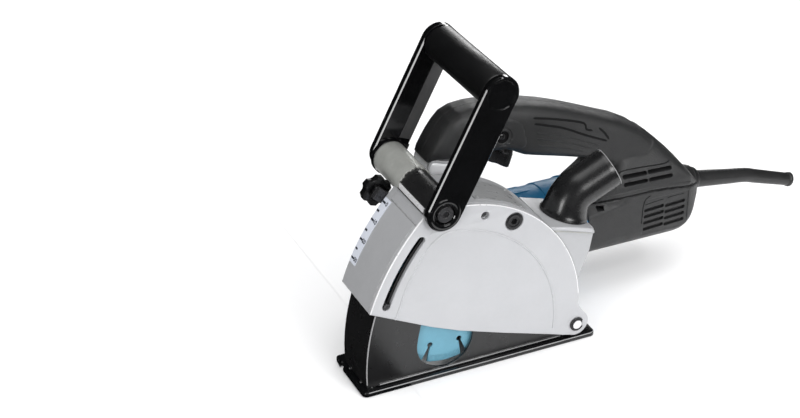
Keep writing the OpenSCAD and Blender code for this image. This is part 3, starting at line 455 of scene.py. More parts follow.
def place(ob, mat, body, *nodes):
    ob.data.materials.clear()
    ob.data.materials.append(M[mat])
    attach(ob, body)
    if nodes:
        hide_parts(*nodes)
    return ob


def circle(cx, cz, r, a0=0.0, a1=360.0, n=48, close=False):
    k = n + 1 if not close else n
    return [(cx + r * cos(radians(a0 + (a1 - a0) * i / n)), cz + r * sin(radians(a0 + (a1 - a0) * i / n))) for i in range(k)]


def grip(x, y, z):
    """A point of the front grip's own frame (z along the arms) in the object's frame."""
    return (GX + x * cos(LEAN) + z * sin(LEAN), y, GZ - x * sin(LEAN) + z * cos(LEAN))


def grip2(x, z):
    p = grip(x, 0, z)
    return (p[0], p[2])


# ------------------------------------------------------------------ side cover
def pin_pt(r, a):
    return (r * cos(radians(a)), PIN_Z + r * sin(radians(a)))


def cover_outline():
    pts = []
    # up the front, about the pivot
    a = 162.1
    while a > 130:
        p = pin_pt(CASE_R, a)
        if hypot(p[0] - C2[0], p[1] - C2[1]) > C2[2]:
            break
        pts.append(p)
        a -= 0.6
    a2 = math.degrees(atan2(p[1] - C2[1], p[0] - C2[0]))
    while a2 > 0:
        pts.append((C2[0] + C2[2] * cos(radians(a2)), C2[1] + C2[2] * sin(radians(a2))))
        a2 -= 1.5
    pts += [(1.0, 37.0), (1.9, 34.0), (4.2, 30.2)]
    pts += circle(0, PIN_Z, 11.3, 46, -118, 40)
    pts += [(-12, 8.9), (-24.5, 13.2), (-66.6, 26.6), (-107.6, 40.4), (-131.7, 50.5)]
    # the saddle of the sleeve
    out = []
    R = 13.7
    inside = [hypot(p[0] - GX, p[1] - GZ) < R for p in pts]
    for i, p in enumerate(pts):
        if inside[i]:
            if not inside[i - 1]:
                q = pts[i - 1]
                b0 = math.degrees(atan2(q[1] - GZ, q[0] - GX)) % 360
                k = i
                while inside[k]:
                    k += 1
                q = pts[k]
                b1 = math.degrees(atan2(q[1] - GZ, q[0] - GX)) % 360
                if b1 < b0:
                    b1 += 360
                out += circle(GX, GZ, R, b0, b1, 28)
            continue
        out.append(p)
    return out


def slot_loop():
    r, w, a0, a1 = 183.4, 3.3, 159.7, 140.9
    pts = []
    for i in range(31):
        pts.append(pin_pt(r + w, a0 + (a1 - a0) * i / 30))
    c = pin_pt(r, a1)
    t = a1
    pts += [(c[0] + w * cos(radians(t - b)), c[1] + w * sin(radians(t - b))) for b in range(15, 180, 15)]
    for i in range(31):
        pts.append(pin_pt(r - w, a1 + (a0 - a1) * i / 30))
    c = pin_pt(r, a0)
    t = a0 + 180
    pts += [(c[0] + w * cos(radians(t - b)), c[1] + w * sin(radians(t - b))) for b in range(15, 180, 15)]
    return pts


cover = plate("side_cover_shell", [cover_outline(), slot_loop(), circle(-87.5, 141.6, 3.5, close=True),
                                   circle(-61.7, 130.2, 7.9, close=True), circle(0, PIN_Z, 4.2, close=True)], -29, -25.2, 0.75, 4)
place(cover, "silver", "case", "side_cover")


def emboss(name, pts, r=0.95, y=-28.68):
    path = resample([(p[0], y, p[1]) for p in pts], 1.5)
    ob = sweep(name, path, r, 10)
    return place(ob, "silver", "case")


# pressed panel outline: an arc about the back and one up the front
arc_back = circle(-126.5, 30.7, 104.9, 82.0, -6.5, 60)
arc_front = [(-183.2, 79.2), (-178, 77.4), (-169, 68.6)]
emboss("panel_line_back", arc_back)
emboss("panel_line_front", [(-164.5, 67.0), (-160.5, 78), (-157, 89), (-152.6, 99), (-148.4, 106.0), (-141.7, 117.8), (-134.2, 127.2), (-125.0, 133.4), (-118.5, 134.9), (-112.0, 134.6)])
emboss("panel_line_short", [(-135.1, 136.5), (-131.8, 137.9), (-128.4, 138.0)], 0.6)
# pale beads along the cover's front and top rims: painted highlight
edge, edge2 = [], []
a = 162.0
while hypot(pin_pt(CASE_R, a)[0] - C2[0], pin_pt(CASE_R, a)[1] - C2[1]) < C2[2]:
    edge.append(pin_pt(CASE_R - 0.42, a))
    a -= 0.5
a2 = math.degrees(atan2(pin_pt(CASE_R, a)[1] - C2[1], pin_pt(CASE_R, a)[0] - C2[0]))
while a2 > 4:
    q = (C2[0] + (C2[2] - 0.42) * cos(radians(a2)), C2[1] + (C2[2] - 0.42) * sin(radians(a2)))
    if hypot(q[0] - GX, q[1] - GZ) > 14.6:
        (edge if a2 > 96 else edge2).append(q)
    a2 -= 1.0
for nm, e_, r_ in (("cover_front_edge", edge, 0.62), ("cover_top_edge", edge2, 0.5)):
    place(sweep(nm, resample([(q[0], -28.62, q[1]) for q in e_], 1.5), r_, 12), "highlight_paint", "case")
seat = lathe("bolt_seat", [(7.9, 0.0), (7.95, 0.5), (7.5, 0.9), (4.3, 3.4), (4.2, 3.7)], (-61.7, -28.98, 130.2), (0, 1, 0), 48)
place(seat, "silver", "case")
bolt = lathe("cover_bolt_head", [(0, 2.6), (3.4, 2.6), (3.5, 0.5), (4.2, 0.1), (6.4, 0.1), (7.3, 0.5), (7.3, 1.0), (4.2, 3.4), (0, 3.6)], (-61.7, -28.98, 130.2), (0, 1, 0), 48)
place(bolt, "black_steel", "case")
# a near-black hexagon in the bolt head: painted shade of the socket
n_ = 6
hexv = [(-61.7 + 3.2 * cos(radians(60 * i + 20)), 130.2 + 3.2 * sin(radians(60 * i + 20))) for i in range(n_)]
hexo = mesh_obj("cover_bolt_hex", [(x, -26.9, z) for x, z in hexv] + [(x, -26.5, z) for x, z in hexv], [tuple(range(n_)), tuple(reversed(range(n_, 2 * n_)))] + [(i, (i + 1) % n_, n_ + (i + 1) % n_, n_ + i) for i in range(n_)])
place(hexo, "groove", "case")
# a pale disc on the pin end is painted highlight; the near-black ring round it is painted shade of the gap
face_ = lathe("pivot_face", [(0, 0.0), (3.3, 0.0), (3.75, 0.3), (3.8, 0.8)], (0, -31.38, PIN_Z), (0, 1, 0), 40)
place(face_, "highlight_paint", "case")
ring_ = lathe("pivot_gap", [(4.1, 0.4), (4.2, 0.0), (5.6, 0.0), (5.7, 0.4)], (0, -29.22, PIN_Z), (0, 1, 0), 40)
place(ring_, "groove", "case")
rim = lathe("pivot_rim", [(5.6, 0.4), (6.0, 0.05), (7.2, 0.0), (7.7, 0.25)], (0, -29.25, PIN_Z), (0, 1, 0), 40)
place(rim, "silver", "case")

# ------------------------------------------------------------------ sole plate


def arc(cx, cy, r, a0, a1, n=6):
    return [(cx + r * cos(radians(a0 + (a1 - a0) * i / n)), cy + r * sin(radians(a0 + (a1 - a0) * i / n))) for i in range(n + 1)]


sole_loop = [(-192, 12.4)] + [(-189.4, 12.9), (-189.4, 18.4)] + arc(-189.4, 20.6, 1.6, 270, 180, 3) + [(-191, 27.5)] + arc(-188.4, 27.4, 2.6, 180, 90, 4) \
    + [(14, 30)] + arc(14.6, 25.6, 4.4, 90, 0, 6) + [(19, -25)] + arc(14.6, -25.0, 4.4, 0, -90, 6) + [(-187.6, -29.4)] + arc(-187.6, -25.0, 4.4, -90, -180, 6)
holes = [[(-178, -20.6), (-70, -20.6), (-70, 17.6), (-178, 17.6)]] + [circle(x, y, 1.9, n=20, close=True) for x in (-186.6, 12.5) for y in (-12, 9)]
sole = plate("sole_plate", [sole_loop] + holes, 0, PLATE_T, 0.9, 1, axis="Z", angle=50)
rail = plate("outrigger_rail", [[(-150, 29), (-2, 29), (-2, 54), (-150, 54)], [(-140, 34), (-84, 34), (-84, 49), (-140, 49)], [(-76, 34), (-12, 34), (-12, 49), (-76, 49)]], 0, 3.4, 0.6, 1, axis="Z", angle=50)
place(join("sole_plate_all", [sole, rail]), "enamel", "base", "base_plate")
# grey lines along the guard's front fold, the sole's top edge and the foot's edge: painted highlight
ge = [(186.60 * cos(radians(a)), -23.10, PIN_Z + 186.60 * sin(radians(a))) for a in [158.5 + 0.5 * i for i in range(50)] if PIN_Z + 186.60 * sin(radians(a)) > PLATE_T + 1.2]
place(sweep("guard_edge_line", resample(ge, 1.5), 0.55, 10), "edge_highlight_paint", "base")
se = [(-187.4, -29.05, PLATE_T - 0.42), (14.6, -29.05, PLATE_T - 0.42), (17.6, -27.8, PLATE_T - 0.42), (18.6, -25.0, PLATE_T - 0.42)]
place(sweep("sole_edge_line", resample(se, 2.0), 0.4, 8), "edge_highlight_paint", "base")
fe = [(-176, -24.75, PLATE_T + 1.75), (-12, -24.75, PLATE_T + 1.75)]
place(sweep("foot_edge_line", resample(fe, 3.0), 0.36, 8), "edge_highlight_paint", "base")
foot = sweep("guard_foot_line", [(-179, -23.2, PLATE_T + 1.0), (-176, -24.3, PLATE_T + 1.0), (-100, -24.35, PLATE_T + 1.0), (-14, -24.35, PLATE_T + 1.0), (-11, -23.3, PLATE_T + 1.0)], 0.85, 12)
place(foot, "enamel", "base")
drop = lathe("foot_corner", [(2.2, -0.2), (2.0, 0.7), (1.2, 1.4), (0, 1.6)], (-182.5, -22.9, PLATE_T), (0, 0, 1), 24)
place(drop, "enamel", "base")

# ------------------------------------------------------------------ front grip
def arm_outline(r, up=0.0):
    return [grip2(*p) for p in ([(r * cos(radians(a)), up + r * sin(radians(a))) for a in range(180, 361, 6)] + [(r * cos(radians(a)), GL + r * sin(radians(a))) for a in range(0, 181, 6)])]


def arm(name, node, y0, y1, out):
    ob = plate(name, [arm_outline(15, 2.4 if out > 0 else 0.0)], y0, y1, 1.0, 0, angle=30)
    k = 0.86 if out > 0 else 1.0
    face = y0 if out < 0 else y1
    d = (0, -out, 0)
    top = grip(0, face + 0.3 * out, GL)
    bot = grip(0, face + 0.3 * out, 0)
    c1 = lathe("c1", [(0, 0), (12.3, 0), (11.6, 1.3), (0, 1.3)], top, d, 64)
    c2 = lathe("c2", [(0, 0), (9.4 * k, 0), (8.6 * k, 0.9), (8.0 * k, 4.0), (0, 4.0)], bot, d, 48)
    cut(ob, [c1, c2])
    if out > 0:
        # the inner side falls away to the rear
        w = lathe_prism("w", [(1.5, y0 - 1.0), (16, y0 - 1.0), (16, y0 + 3.4), (1.5, y0 + 0.02)], 13.4, GL - 11.5)
        cut(ob, [w])
    smooth(ob, 30)
    place(ob, "gloss", "front_grip", node)
    rg = lathe(name + "_ring", [(9.4 * k, 0.0), (9.9 * k, 0.75), (10.6 * k, 1.0), (11.9 * k, 1.0), (12.7 * k, 0.72), (13.2 * k, 0.0)], grip(0, face, 0), (0, out, 0), 56)
    place(rg, "gloss", "front_grip")
    hd = lathe(name + "_bolt", [(0, 0.4), (3.1 * k, 0.4), (3.2 * k, 2.3), (4.0 * k, 3.0), (5.9 * k, 3.0), (6.5 * k, 2.5), (6.6 * k, 0.4), (8.1 * k, 0.0)], grip(0, face - 3.8 * out, 0), (0, out, 0), 48)
    place(hd, "steel_dark", "front_grip")
    # near-black hexagon in the bolt head: painted shade of the socket
    hx = prism_y(name + "_hex", hexagon(2.9 * k), face - 3.38 * out, face - 3.3 * out, grip(0, 0, 0))
    place(hx, "groove", "front_grip")
    if out > 0:
        # a thin grey plate on the inner rear facet: a painted reflection of the silver case
        st = lathe_prism(name + "_strip", [(2.2, y0 + 0.18), (14.0, y0 + 2.93), (14.0, y0 + 2.58), (2.2, y0 - 0.14)], 17.4, GL - 12.5)
        place(st, "strip", "front_grip")
    return ob


def hexagon(r):
    return [(r * cos(radians(60 * i + 10)), r * sin(radians(60 * i + 10))) for i in range(6)]


def prism_y(name, loop, y0, y1, c):
    n = len(loop)
    v = [(c[0] + x, y0, c[2] + z) for x, z in loop] + [(c[0] + x, y1, c[2] + z) for x, z in loop]
    f = [tuple(range(n)), tuple(reversed(range(n, 2 * n)))] + [(i, (i + 1) % n, n + (i + 1) % n, n + i) for i in range(n)]
    return mesh_obj(name, v, f)


def lathe_prism(name, sec, z0, z1):
    """A prism along an arm from a section of (x, y) points, between two heights."""
    n = len(sec)
    v = [grip(x, y, z0) for x, y in sec] + [grip(x, y, z1) for x, y in sec]
    f = [tuple(range(n)), tuple(reversed(range(n, 2 * n)))] + [(i, (i + 1) % n, n + (i + 1) % n, n + i) for i in range(n)]
    return mesh_obj(name, v, f)


arm("front_arm_near", "grip_arm_near", -35.95, -29.8, -1)
arm("front_arm_far", "grip_arm_far", 67.5, 74.7, 1)
tube = lathe("front_tube", [(0, -29.8), (14.2, -29.8), (14.5, -29.3), (14.75, -28.6), (14.75, 18), (14.8, 60), (14.95, 67.5), (14.95, 72.5), (14.2, 74.2), (13.5, 74.6), (0, 74.6)], grip(0, 0, GL), (0, 1, 0), 96)
place(tube, "tube", "front_grip", "grip_tube")
fillet = lathe("tube_root", [(14.7, 60.5), (14.85, 63.5), (14.93, 66), (14.98, 67.6)], grip(0, 0, GL), (0, 1, 0), 96)
place(fillet, "gloss", "front_grip")
collar = lathe("cylinder_collar", [(14.45, 64.6), (14.8, 64.0), (15.1, 64.0), (15.35, 64.6), (15.35, 67.6), (14.6, 67.6)], (GX, 0, GZ), (0, 1, 0), 96)
place(collar, "gloss", "case")


def edge_wave(a):
    return 0.6 * math.sin(9 * a + 0.6) + 0.35 * math.sin(4 * a + 1.0) + 0.55 * math.sin(24 * a)


def teeth(a, r, h):
    return 0 if h < 12 else edge_wave(a)




sleeve = lathe("toothed_sleeve_skin", [(8.1, -29.8), (12.6, -29.8), (13.15, -29.3), (13.2, -28.0), (13.2, 8), (13.2, 15.6), (12.9, 16.4), (12.2, 16.5), (8.1, 16.3)], (GX, 0, GZ), (0, 1, 0), 240, wave=teeth)
place(sleeve, "sleeve", "front_grip", "toothed_sleeve")
cyl = lathe("cross_cylinder_skin", [(13.1, 17.0), (13.9, 17.05), (14.24, 17.5), (14.25, 18.6), (14.25, 44), (14.25, 66.2), (14.0, 66.9), (13.2, 67.25)], (GX, 0, GZ), (0, 1, 0), 240, wave=lambda a, r, h: 0 if h > 18 else edge_wave(a))
place(cyl, "cast", "case")


def along_y(name, sec, y0, y1, mat, body="case", angle=35.0):
    """A strip running along the cross cylinder, from a closed section of (x, z) points."""
    n = len(sec)
    v = [(x, y0, z) for x, z in sec] + [(x, y1, z) for x, z in sec]
    f = [tuple(range(n)), tuple(reversed(range(n, 2 * n)))] + [(i, (i + 1) % n, n + (i + 1) % n, n + i) for i in range(n)]
    return place(mesh_obj(name, v, f, angle), mat, body)


def ring_pt(r, a):
    return (GX + r * cos(radians(a)), GZ + r * sin(radians(a)))


# lip of the saddle along the sleeve, painted pale as a highlight, with a near-black line beside it as painted shade
along_y("saddle_lip", [ring_pt(13.45, a) for a in range(236, 165, -4)] + [ring_pt(13.6, 163.2), ring_pt(14.1, 162.8), ring_pt(14.5, 164.5)] + [ring_pt(14.5, a) for a in range(168, 237, 4)], -26.5, 16.6, "highlight_paint")
groove_path = [(ring_pt(14.65, 181.6)[0], y, ring_pt(14.65, 181.6)[1]) for y in range(-27, 19, 3)]
place(sweep("saddle_groove", groove_path, 0.36, 8), "groove", "case")
fac = [ring_pt(14.55, 183.5), ring_pt(14.7, 187), (-142.6, 151.3), (-144.8, 148.9), (-146.7, 146.7), pin_pt(194.6, 137.6), ring_pt(13.8, 200)]
along_y("saddle_fillet", fac, -28.4, 17.4, "silver_in", angle=60)

# ------------------------------------------------------------------ wheels
def wheel_outline(slots=10, start=-110.0, r=57.5):
    pts = []
    for k in range(slots):
        a = start + 36.0 * k
        # arc up to the slot
        h = math.degrees(math.asin(2.7 / r))
        for i in range(11):
            b = a - 36 + h + (36 - 2 * h) * i / 10
            pts.append((SX + r * cos(radians(b)), SZ + r * sin(radians(b))))
        ca, sa = cos(radians(a)), sin(radians(a))

        def loc(u, v):
            return (SX + u * ca - v * sa, SZ + u * sa + v * ca)
        pts.append(loc(50.6, -1.7))
        pts.append(loc(44.2, -1.0))
        for t in range(0, 301, 20):
            f = radians(-30 - t)
            pts.append(loc(42.0 + 2.3 * cos(f), 2.3 * sin(f)))
        pts.append(loc(44.2, 1.0))
        pts.append(loc(50.6, 1.7))
    return pts


def wheel(name, node, y0):
    y1 = y0 + 2.2
    out = wheel_outline()
    ob = plate(name, [out, circle(SX, SZ, 11.2, close=True)], y0 + 0.3, y1 - 0.3, 0.3, 2)
    place(ob, "wheel", "spindle_set", node)
    # ribbed cutting rim, broken at the slots
    verts, faces = [], []
    ri, ro = 50.8, 57.45
    for k in range(10):
        a0 = -110 + 36 * k + 2.9
        a1 = -110 + 36 * (k + 1) - 2.9
        n = 44
        base = len(verts)
        for i in range(n + 1):
            a = radians(a0 + (a1 - a0) * i / n)
            w = 0.42 if i % 2 else 0.0
            prof = [(ri, y0 + 0.35), (ri + 0.5, y0 + w), (ro - 0.5, y0 + w), (ro, y0 + 0.5), (ro, y1 - 0.5), (ro - 0.5, y1 - w), (ri + 0.5, y1 - w), (ri, y1 - 0.35)]
            for r, y in prof:
                verts.append((SX + r * cos(a), y, SZ + r * sin(a)))
        for i in range(n):
            for j in range(8):
                b = base + i * 8
                faces.append((b + j, b + (j + 1) % 8, b + 8 + (j + 1) % 8, b + 8 + j))
        faces.append(tuple(base + j for j in range(8)))
        faces.append(tuple(base + n * 8 + j for j in reversed(range(8))))
    rim = mesh_obj(name + "_rim", verts, faces, 20)
    place(rim, "segment", "spindle_set")


wheel("wheel_near_disc", "wheel_near", -19.6)
wheel("wheel_far_disc", "wheel_far", 8.2)

# ------------------------------------------------------------------ dust elbow
DT = radians(17.0)


def duct(x, y, z):
    return Vector((-1.6 + x * cos(DT) + z * sin(DT), -2.0 + y, 108.3 - x * sin(DT) + z * cos(DT)))


def elbow_path(z0=0.4, end=29.7):
    A, R, S, TW = radians(46.0), 21.0, 9.85, radians(5.0)
    pts = [(0, 0, z0 + (S - z0) * i / 6) for i in range(6)]
    for i in range(17):
        t = A * i / 16
        pts.append((R - R * cos(t), 0, S + R * sin(t)))
    c = (R - R * cos(A), S + R * sin(A))
    for i in range(1, 15):
        e = end * i / 14
        pts.append((c[0] + e * sin(A), 0, c[1] + e * cos(A)))
    return [duct(q[0] * cos(TW), -q[0] * sin(TW), q[2]) for q in pts]


def elbow():
    path = elbow_path()
    s, acc = [], 0.0
    for i, p in enumerate(path):
        if i:
            acc += (p - path[i - 1]).length
        s.append(acc)

    def rad(v):
        for (a, ra), (b, rb) in zip(PR, PR[1:]):
            if v <= b:
                t = (v - a) / (b - a)
                return ra + (rb - ra) * t
        return PR[-1][1]
    PR = [(0, 20.4), (1.6, 20.4), (2.2, 19.9), (3.4, 19.3), (6, 18.7), (10, 18.0), (16, 17.4), (22, 17.1), (34, 16.9), (acc - 0.7, 16.9), (acc, 16.3)]
    outer = [rad(v) for v in s]
    back = path[::-1]
    full = path + back
    rin = [14.7 if i else 16.1 for i in range(len(back))]
    segs = 72
    n = len(path)
    tan = [(path[min(i + 1, n - 1)] - path[max(i - 1, 0)]).normalized() for i in range(n)]
    verts, faces = [], []
    for i, p in enumerate(full):
        k = i if i < n else 2 * n - 1 - i
        t = tan[k]
        v = Vector((0, 1, 0))
        u = v.cross(t).normalized()
        v = t.cross(u)
        r = outer[i] if i < n else rin[i - n]
        for q in range(segs):
            a = 2 * pi * q / segs
            verts.append(p + (u * cos(a) + v * sin(a)) * r)
    m = len(full)
    for i in range(m):
        j = (i + 1) % m
        for q in range(segs):
            w = (q + 1) % segs
            faces.append((i * segs + q, i * segs + w, j * segs + w, j * segs + q))
    ob = mesh_obj("dust_elbow_tube", verts, faces, 50)
    place(ob, "duct", "elbow", "dust_elbow")
    bead = lathe("elbow_bead", [(16.6, -7.8), (16.5, 0.2), (20.3, 0.3), (20.55, 0.8), (20.55, 1.5), (20.2, 2.0), (19.6, 2.1)], duct(0, 0, 0), duct(0, 0, 1) - duct(0, 0, 0), 72)
    place(bead, "duct", "elbow")


elbow()
ep = elbow_path()
# grey ring at the elbow's mouth: painted highlight on its rim
mouth = lathe("elbow_mouth_edge", [(16.1, -0.45), (16.75, -0.55), (16.85, -0.15), (16.45, 0.12), (15.9, 0.12)], ep[-1], (ep[-1] - ep[-2]).normalized(), 72)
place(mouth, "edge_highlight_paint", "elbow")
shade = resample([(-24.5, -29.05, 112.0), (-12, -29.1, 108.2), (4, -29.1, 103.3), (9.6, -28.9, 101.4)], 1.5)
place(sweep("duct_lip_shade", shade, 0.42, 8), "cast", "case")

lip = [(-24.5, -28.3, 114.6), (-12, -28.35, 110.8), (4, -28.35, 105.9), (8.6, -28.0, 104.2), (11.3, -25.6, 102.9), (12.0, -21, 102.6), (12.1, -8, 102.6), (12.1, 8, 102.6), (12.0, 21, 102.6)]
lip = resample(lip, 1.2)
lip_ob = sweep("duct_lip", lip, [0.6 + 1.15 * min(1, i / 8) for i in range(len(lip))], 16)
place(lip_ob, "silver", "case")

# ------------------------------------------------------------------ cord guard
k1 = Vector((218.55, MY, 62.9))
d2 = Vector((cos(radians(18)), 0, -sin(radians(18))))
gpts = [(151.9, MY, 73.3), (158, MY, 72.9), (166, MY, 71.5), (182, MY, 68.9), (200, MY, 65.9), tuple(k1), tuple(k1 + d2 * 12), tuple(k1 + d2 * 24), tuple(k1 + d2 * 38), tuple(k1 + d2 * 52.5)]
gp = resample(gpts, 0.8)
acc, S = 0.0, []
for i, p in enumerate(gp):
    if i:
        acc += (p - gp[i - 1]).length
    S.append(acc)


def interp(T, v):
    for (a, ra), (b, rb) in zip(T, T[1:]):
        if v <= b:
            return ra + (rb - ra) * (v - a) / (b - a)
    return T[-1][1]


GR = [(0, 13.6), (0.8, 14.2), (3.0, 13.9), (6.2, 12.6), (6.9, 11.7), (7.5, 11.2), (10.0, 10.9), (11.8, 10.0), (12.8, 8.4), (13.8, 7.8), (18, 7.5), (60, 6.5), (acc - 6, 5.85), (acc - 3.1, 5.85), (acc - 2.5, 6.5), (acc - 0.6, 6.7), (acc, 6.5)]
outer = sweep("cord_guard_tube", gp + [gp[-1] + d2 * 0.01, gp[-1] - d2 * 6], [interp(GR, v) for v in S] + [4.2, 4.0], 48, True, 38)
place(outer, "rubber", "case", "cord_guard")

# ------------------------------------------------------------------ rear handle
TOP = [(-103.4, 156.3), (-101.8, 161.3), (-98.0, 168.0), (-93.9, 175), (-89.3, 182.3), (-83.2, 189.1), (-74, 193.0), (-61, 194.2), (-46, 193.3), (-28, 190.6), (-10, 187), (8, 181.9),
       (26, 175.4), (44, 168), (62, 160.2), (78, 153.4), (94, 144.4), (110, 131.4)]
BOT = [(-101.2, 154.6), (-94, 155.9), (-85, 154.3), (-75, 153.2), (-65, 152.4), (-54, 152.6), (-43.5, 152.2), (-34, 151.0), (-26.5, 149.0), (-20.5, 145.2), (-13.5, 141.4), (-4, 138.6),
       (12, 134.4), (27, 130.4), (42, 126.4), (54, 123.0), (65, 115), (68, 100)]
HW = [12.2, 14.0, 15.8, 17.0, 17.2, 17.6, 17.9, 18, 18, 18, 18, 18, 18, 18.1, 18.6, 19.4, 20.6, 22]
rings = []
for (tx, tz), (bx, bz), hw in zip(TOP, BOT, HW):
    cx, cz = (tx + bx) / 2, (tz + bz) / 2
    ux, uz = (tx - bx) / 2, (tz - bz) / 2
    ring = []
    for i in range(40):
        a = 2 * pi * i / 40
        e = 2 / 3.8
        c, s_ = cos(a), sin(a)
        p = math.copysign(abs(c) ** e, c)
        q = math.copysign(abs(s_) ** e, s_)
        ring.append((cx + ux * p, MY + hw * q, cz + uz * p))
    rings.append(ring)
grip_body = loft("handle_grip", rings)


def z_top(x):
    T = [(38, 97.0), (44, 98.5), (54, 101), (64, 106.5), (69, 117), (76, 130), (84, 137.5), (94, 144.2), (103, 138.3), (115, 127.8), (124.8, 118.0), (132, 109.9), (139.1, 101.0), (146.3, 91.2), (148, 89.4)]
    return interp(T, x)


def seam_z(x):
    return interp([(38, 87.2), (50, 88.4), (58, 90.2), (66, 91.5), (89, 91.6), (106, 91.2), (140, 87.2), (152, 85.8)], x)


W = [(80, 33), (97, 33), (103.5, 31.4), (110.4, 28), (117.4, 24), (124, 20.6), (131, 18.2), (145, 16.5)]
PLAN = [(38, 21.5), (44, 24.2), (50, 26.6), (58, 29.6), (66, 31.9), (76, 33), (152, 33)]
rings = []
for x in (38.6, 42, 46, 51, 56, 61, 66, 72, 80, 90, 102, 114, 124, 132, 138, 142.5, 145.4, 147.3):
    zb, zt = seam_z(x) + 0.18, z_top(x)
    f = 1.0 if x < 134 else 1.0 - 0.28 * ((x - 134) / 17.2) ** 2.2
    f *= 1.0 if x > 48 else 1.0 - 0.05 * ((48 - x) / 9) ** 2
    half = []
    for i in range(12):
        t = i / 11
        z = zb + (zt - zb) * t
        w = min(interp(W, z), interp(PLAN, x)) * f
        cap = 1.0 if t < 0.6 else sqrt(max(1 - ((t - 0.6) / 0.4) ** 2, 0.0)) * 0.55 + 0.45
        half.append((w * cap, z))
    ring = [(x, MY - w, z) for w, z in half] + [(x, MY + w, z) for w, z in reversed(half)]
    rings.append(ring)
wide = loft("handle_wide", rings)
whole = join("handle_whole", [grip_body, wide])
remesh(whole, 1.15, 3, 0.5)

# housing under the seam: a round belly, flat flanks
LOWW = [(0, 6), (1.2, 10.5), (3.3, 16), (7.3, 23.4), (11.3, 28.6), (15.5, 31.9), (20.3, 33), (70, 33)]
PLAN2 = [(38, 22.5), (44, 25), (50, 27.4), (58, 30.2), (66, 32.3), (76, 33), (160, 33)]
rings = []
for x in (38.4, 41, 60, 80, 100, 118, 128, 134, 139, 143, 146, 148.3, 150.2):
    zb = 32.8 if x <= 128 else 52.7 - sqrt(max(400 - min(x - 128, 19.9) ** 2, 0.1)) + max(0, x - 147.9) * 3
    zt = seam_z(x) - 0.18
    f = 1.0 if x < 134 else 1.0 - 0.22 * ((x - 134) / 17.2) ** 2.2
    half = []
    for i in range(26):
        t = i / 25
        z = zb + (zt - zb) * t
        d = z - zb
        w = interp(LOWW, d)
        w = min(w, interp(PLAN2, x) + max(0, 86 - z) * 1.6)
        half.append((w * f, z))
    rings.append([(x, MY - w, z) for w, z in half] + [(x, MY + w, z) for w, z in reversed(half)])
low = loft("rear_low", rings)
remesh(low, 1.15, 4, 0.5)

# vents and windows, on both sides
cutters = []
for sgn in (-1, 1):
    ya, yb = (MY - 40, MY - 28.5) if sgn < 0 else (MY + 28.5, MY + 40)
    for i in range(4):
        for k in (0, 1):
            x0 = 95 + 20.8 * k
            z0 = 73.4 - 6.1 * i
            L_ = 17.6 if not (i == 0 and k == 0) else 17.0
            cutters.append(plate("v", [[(x0 + 1.4 * cos(radians(a)) + (L_ if abs(a) < 90 or a > 270 else 0), z0 + 1.75 * sin(radians(a)) + (0.9 if abs(a) < 90 or a > 270 else 0)) for a in (-80, -40, 0, 40, 80, 100, 140, 180, 220, 260)]], ya, yb, 0.05, 0))
    cutters.append(box_mesh("w", (47.9, MY - 40 if sgn < 0 else MY + 16, 83.3), (54.0, MY - 16 if sgn < 0 else MY + 40, 87.0)))
cut(low, cutters)
# shallow vent panel
low_panel = [box_mesh("p", (92.5, MY - 40, 49.5), (137.8, MY - 32.0, 84.2)), box_mesh("p", (92.5, MY + 32.0, 49.5), (137.8, MY + 40, 84.2))]
cut(low, low_panel)
smooth(low, 40)
place(low, "dark", "case", "rear_housing")
# near-black lines at the vent panel's edge and over the vents: painted shade
for sgn, tag in ((-1, "near"), (1, "far")):
    yy = MY + sgn * 32.93
    for nm, pts in (("panel_edge_", [(98.5, 87.6), (94.6, 85.6), (92.6, 82.0), (91.8, 76), (91.3, 62)]), ("vent_brow_a_", [(94.5, 79.0), (103, 79.9), (112.4, 80.6)]), ("vent_brow_b_", [(116.6, 80.9), (125, 81.3), (133.0, 81.2)])):
        yb = yy if nm == "panel_edge_" else MY + sgn * 31.95
        ln = resample([(x, yb, z) for x, z in pts], 1.5)
        place(sweep(nm + tag, ln, 0.42 if nm == "panel_edge_" else 0.3, 8), "groove", "case")
cutters = []
for sgn in (-1, 1):
    ya, yb = (MY - 40, MY - 22) if sgn < 0 else (MY + 22, MY + 40)
    for i in range(2):
        for k in (0, 1):
            x0 = 73.4 + 24.4 * k
            z0 = 109.2 - 6.1 * i - 0.5 * k
            cutters.append(plate("v", [[(x0 + 1.4 * cos(radians(a)) + (21.0 if abs(a) < 90 or a > 270 else 0), z0 + 1.75 * sin(radians(a)) + (-0.6 if abs(a) < 90 or a > 270 else 0)) for a in (-80, -40, 0, 40, 80, 100, 140, 180, 220, 260)]], ya, yb, 0.05, 0))
# recess of the lock button
cutters.append(lathe("c", [(0, -3), (8.0, -3), (7.6, 2.2), (0, 2.2)], (-37.5, MY - 18, 167.0), (0, 1, 0), 40))
cut(whole, cutters)
smooth(whole, 40)
tree = BVHTree.FromObject(whole, bpy.context.evaluated_depsgraph_get())


def skin_y(x, z, side=-1):
    hit = tree.ray_cast(Vector((x, MY + side * 60, z)) * MM, Vector((0, -side, 0)))
    return (hit[0].y / MM, hit[1]) if hit[0] is not None else (None, None)


def half_of(ob, name, side):
    me = ob.data.copy()
    me.name = name
    bm = bmesh.new()
    bm.from_mesh(me)
    geom = list(bm.verts) + list(bm.edges) + list(bm.faces)
    bmesh.ops.bisect_plane(bm, geom=geom, plane_co=Vector((0, MY + side * 0.12, 0)) * MM, plane_no=Vector((0, -side, 0)), clear_outer=True, clear_inner=False)
    edges = [e for e in bm.edges if e.is_boundary]
    bmesh.ops.holes_fill(bm, edges=edges, sides=0)
    bm.to_mesh(me)
    bm.free()
    return smooth(link(name, me), 40)


near = half_of(whole, "handle_shell_near", -1)
far = half_of(whole, "handle_shell_far", 1)
bpy.data.objects.remove(whole)
place(near, "dark", "case", "handle_near")
place(far, "dark", "case", "handle_far")


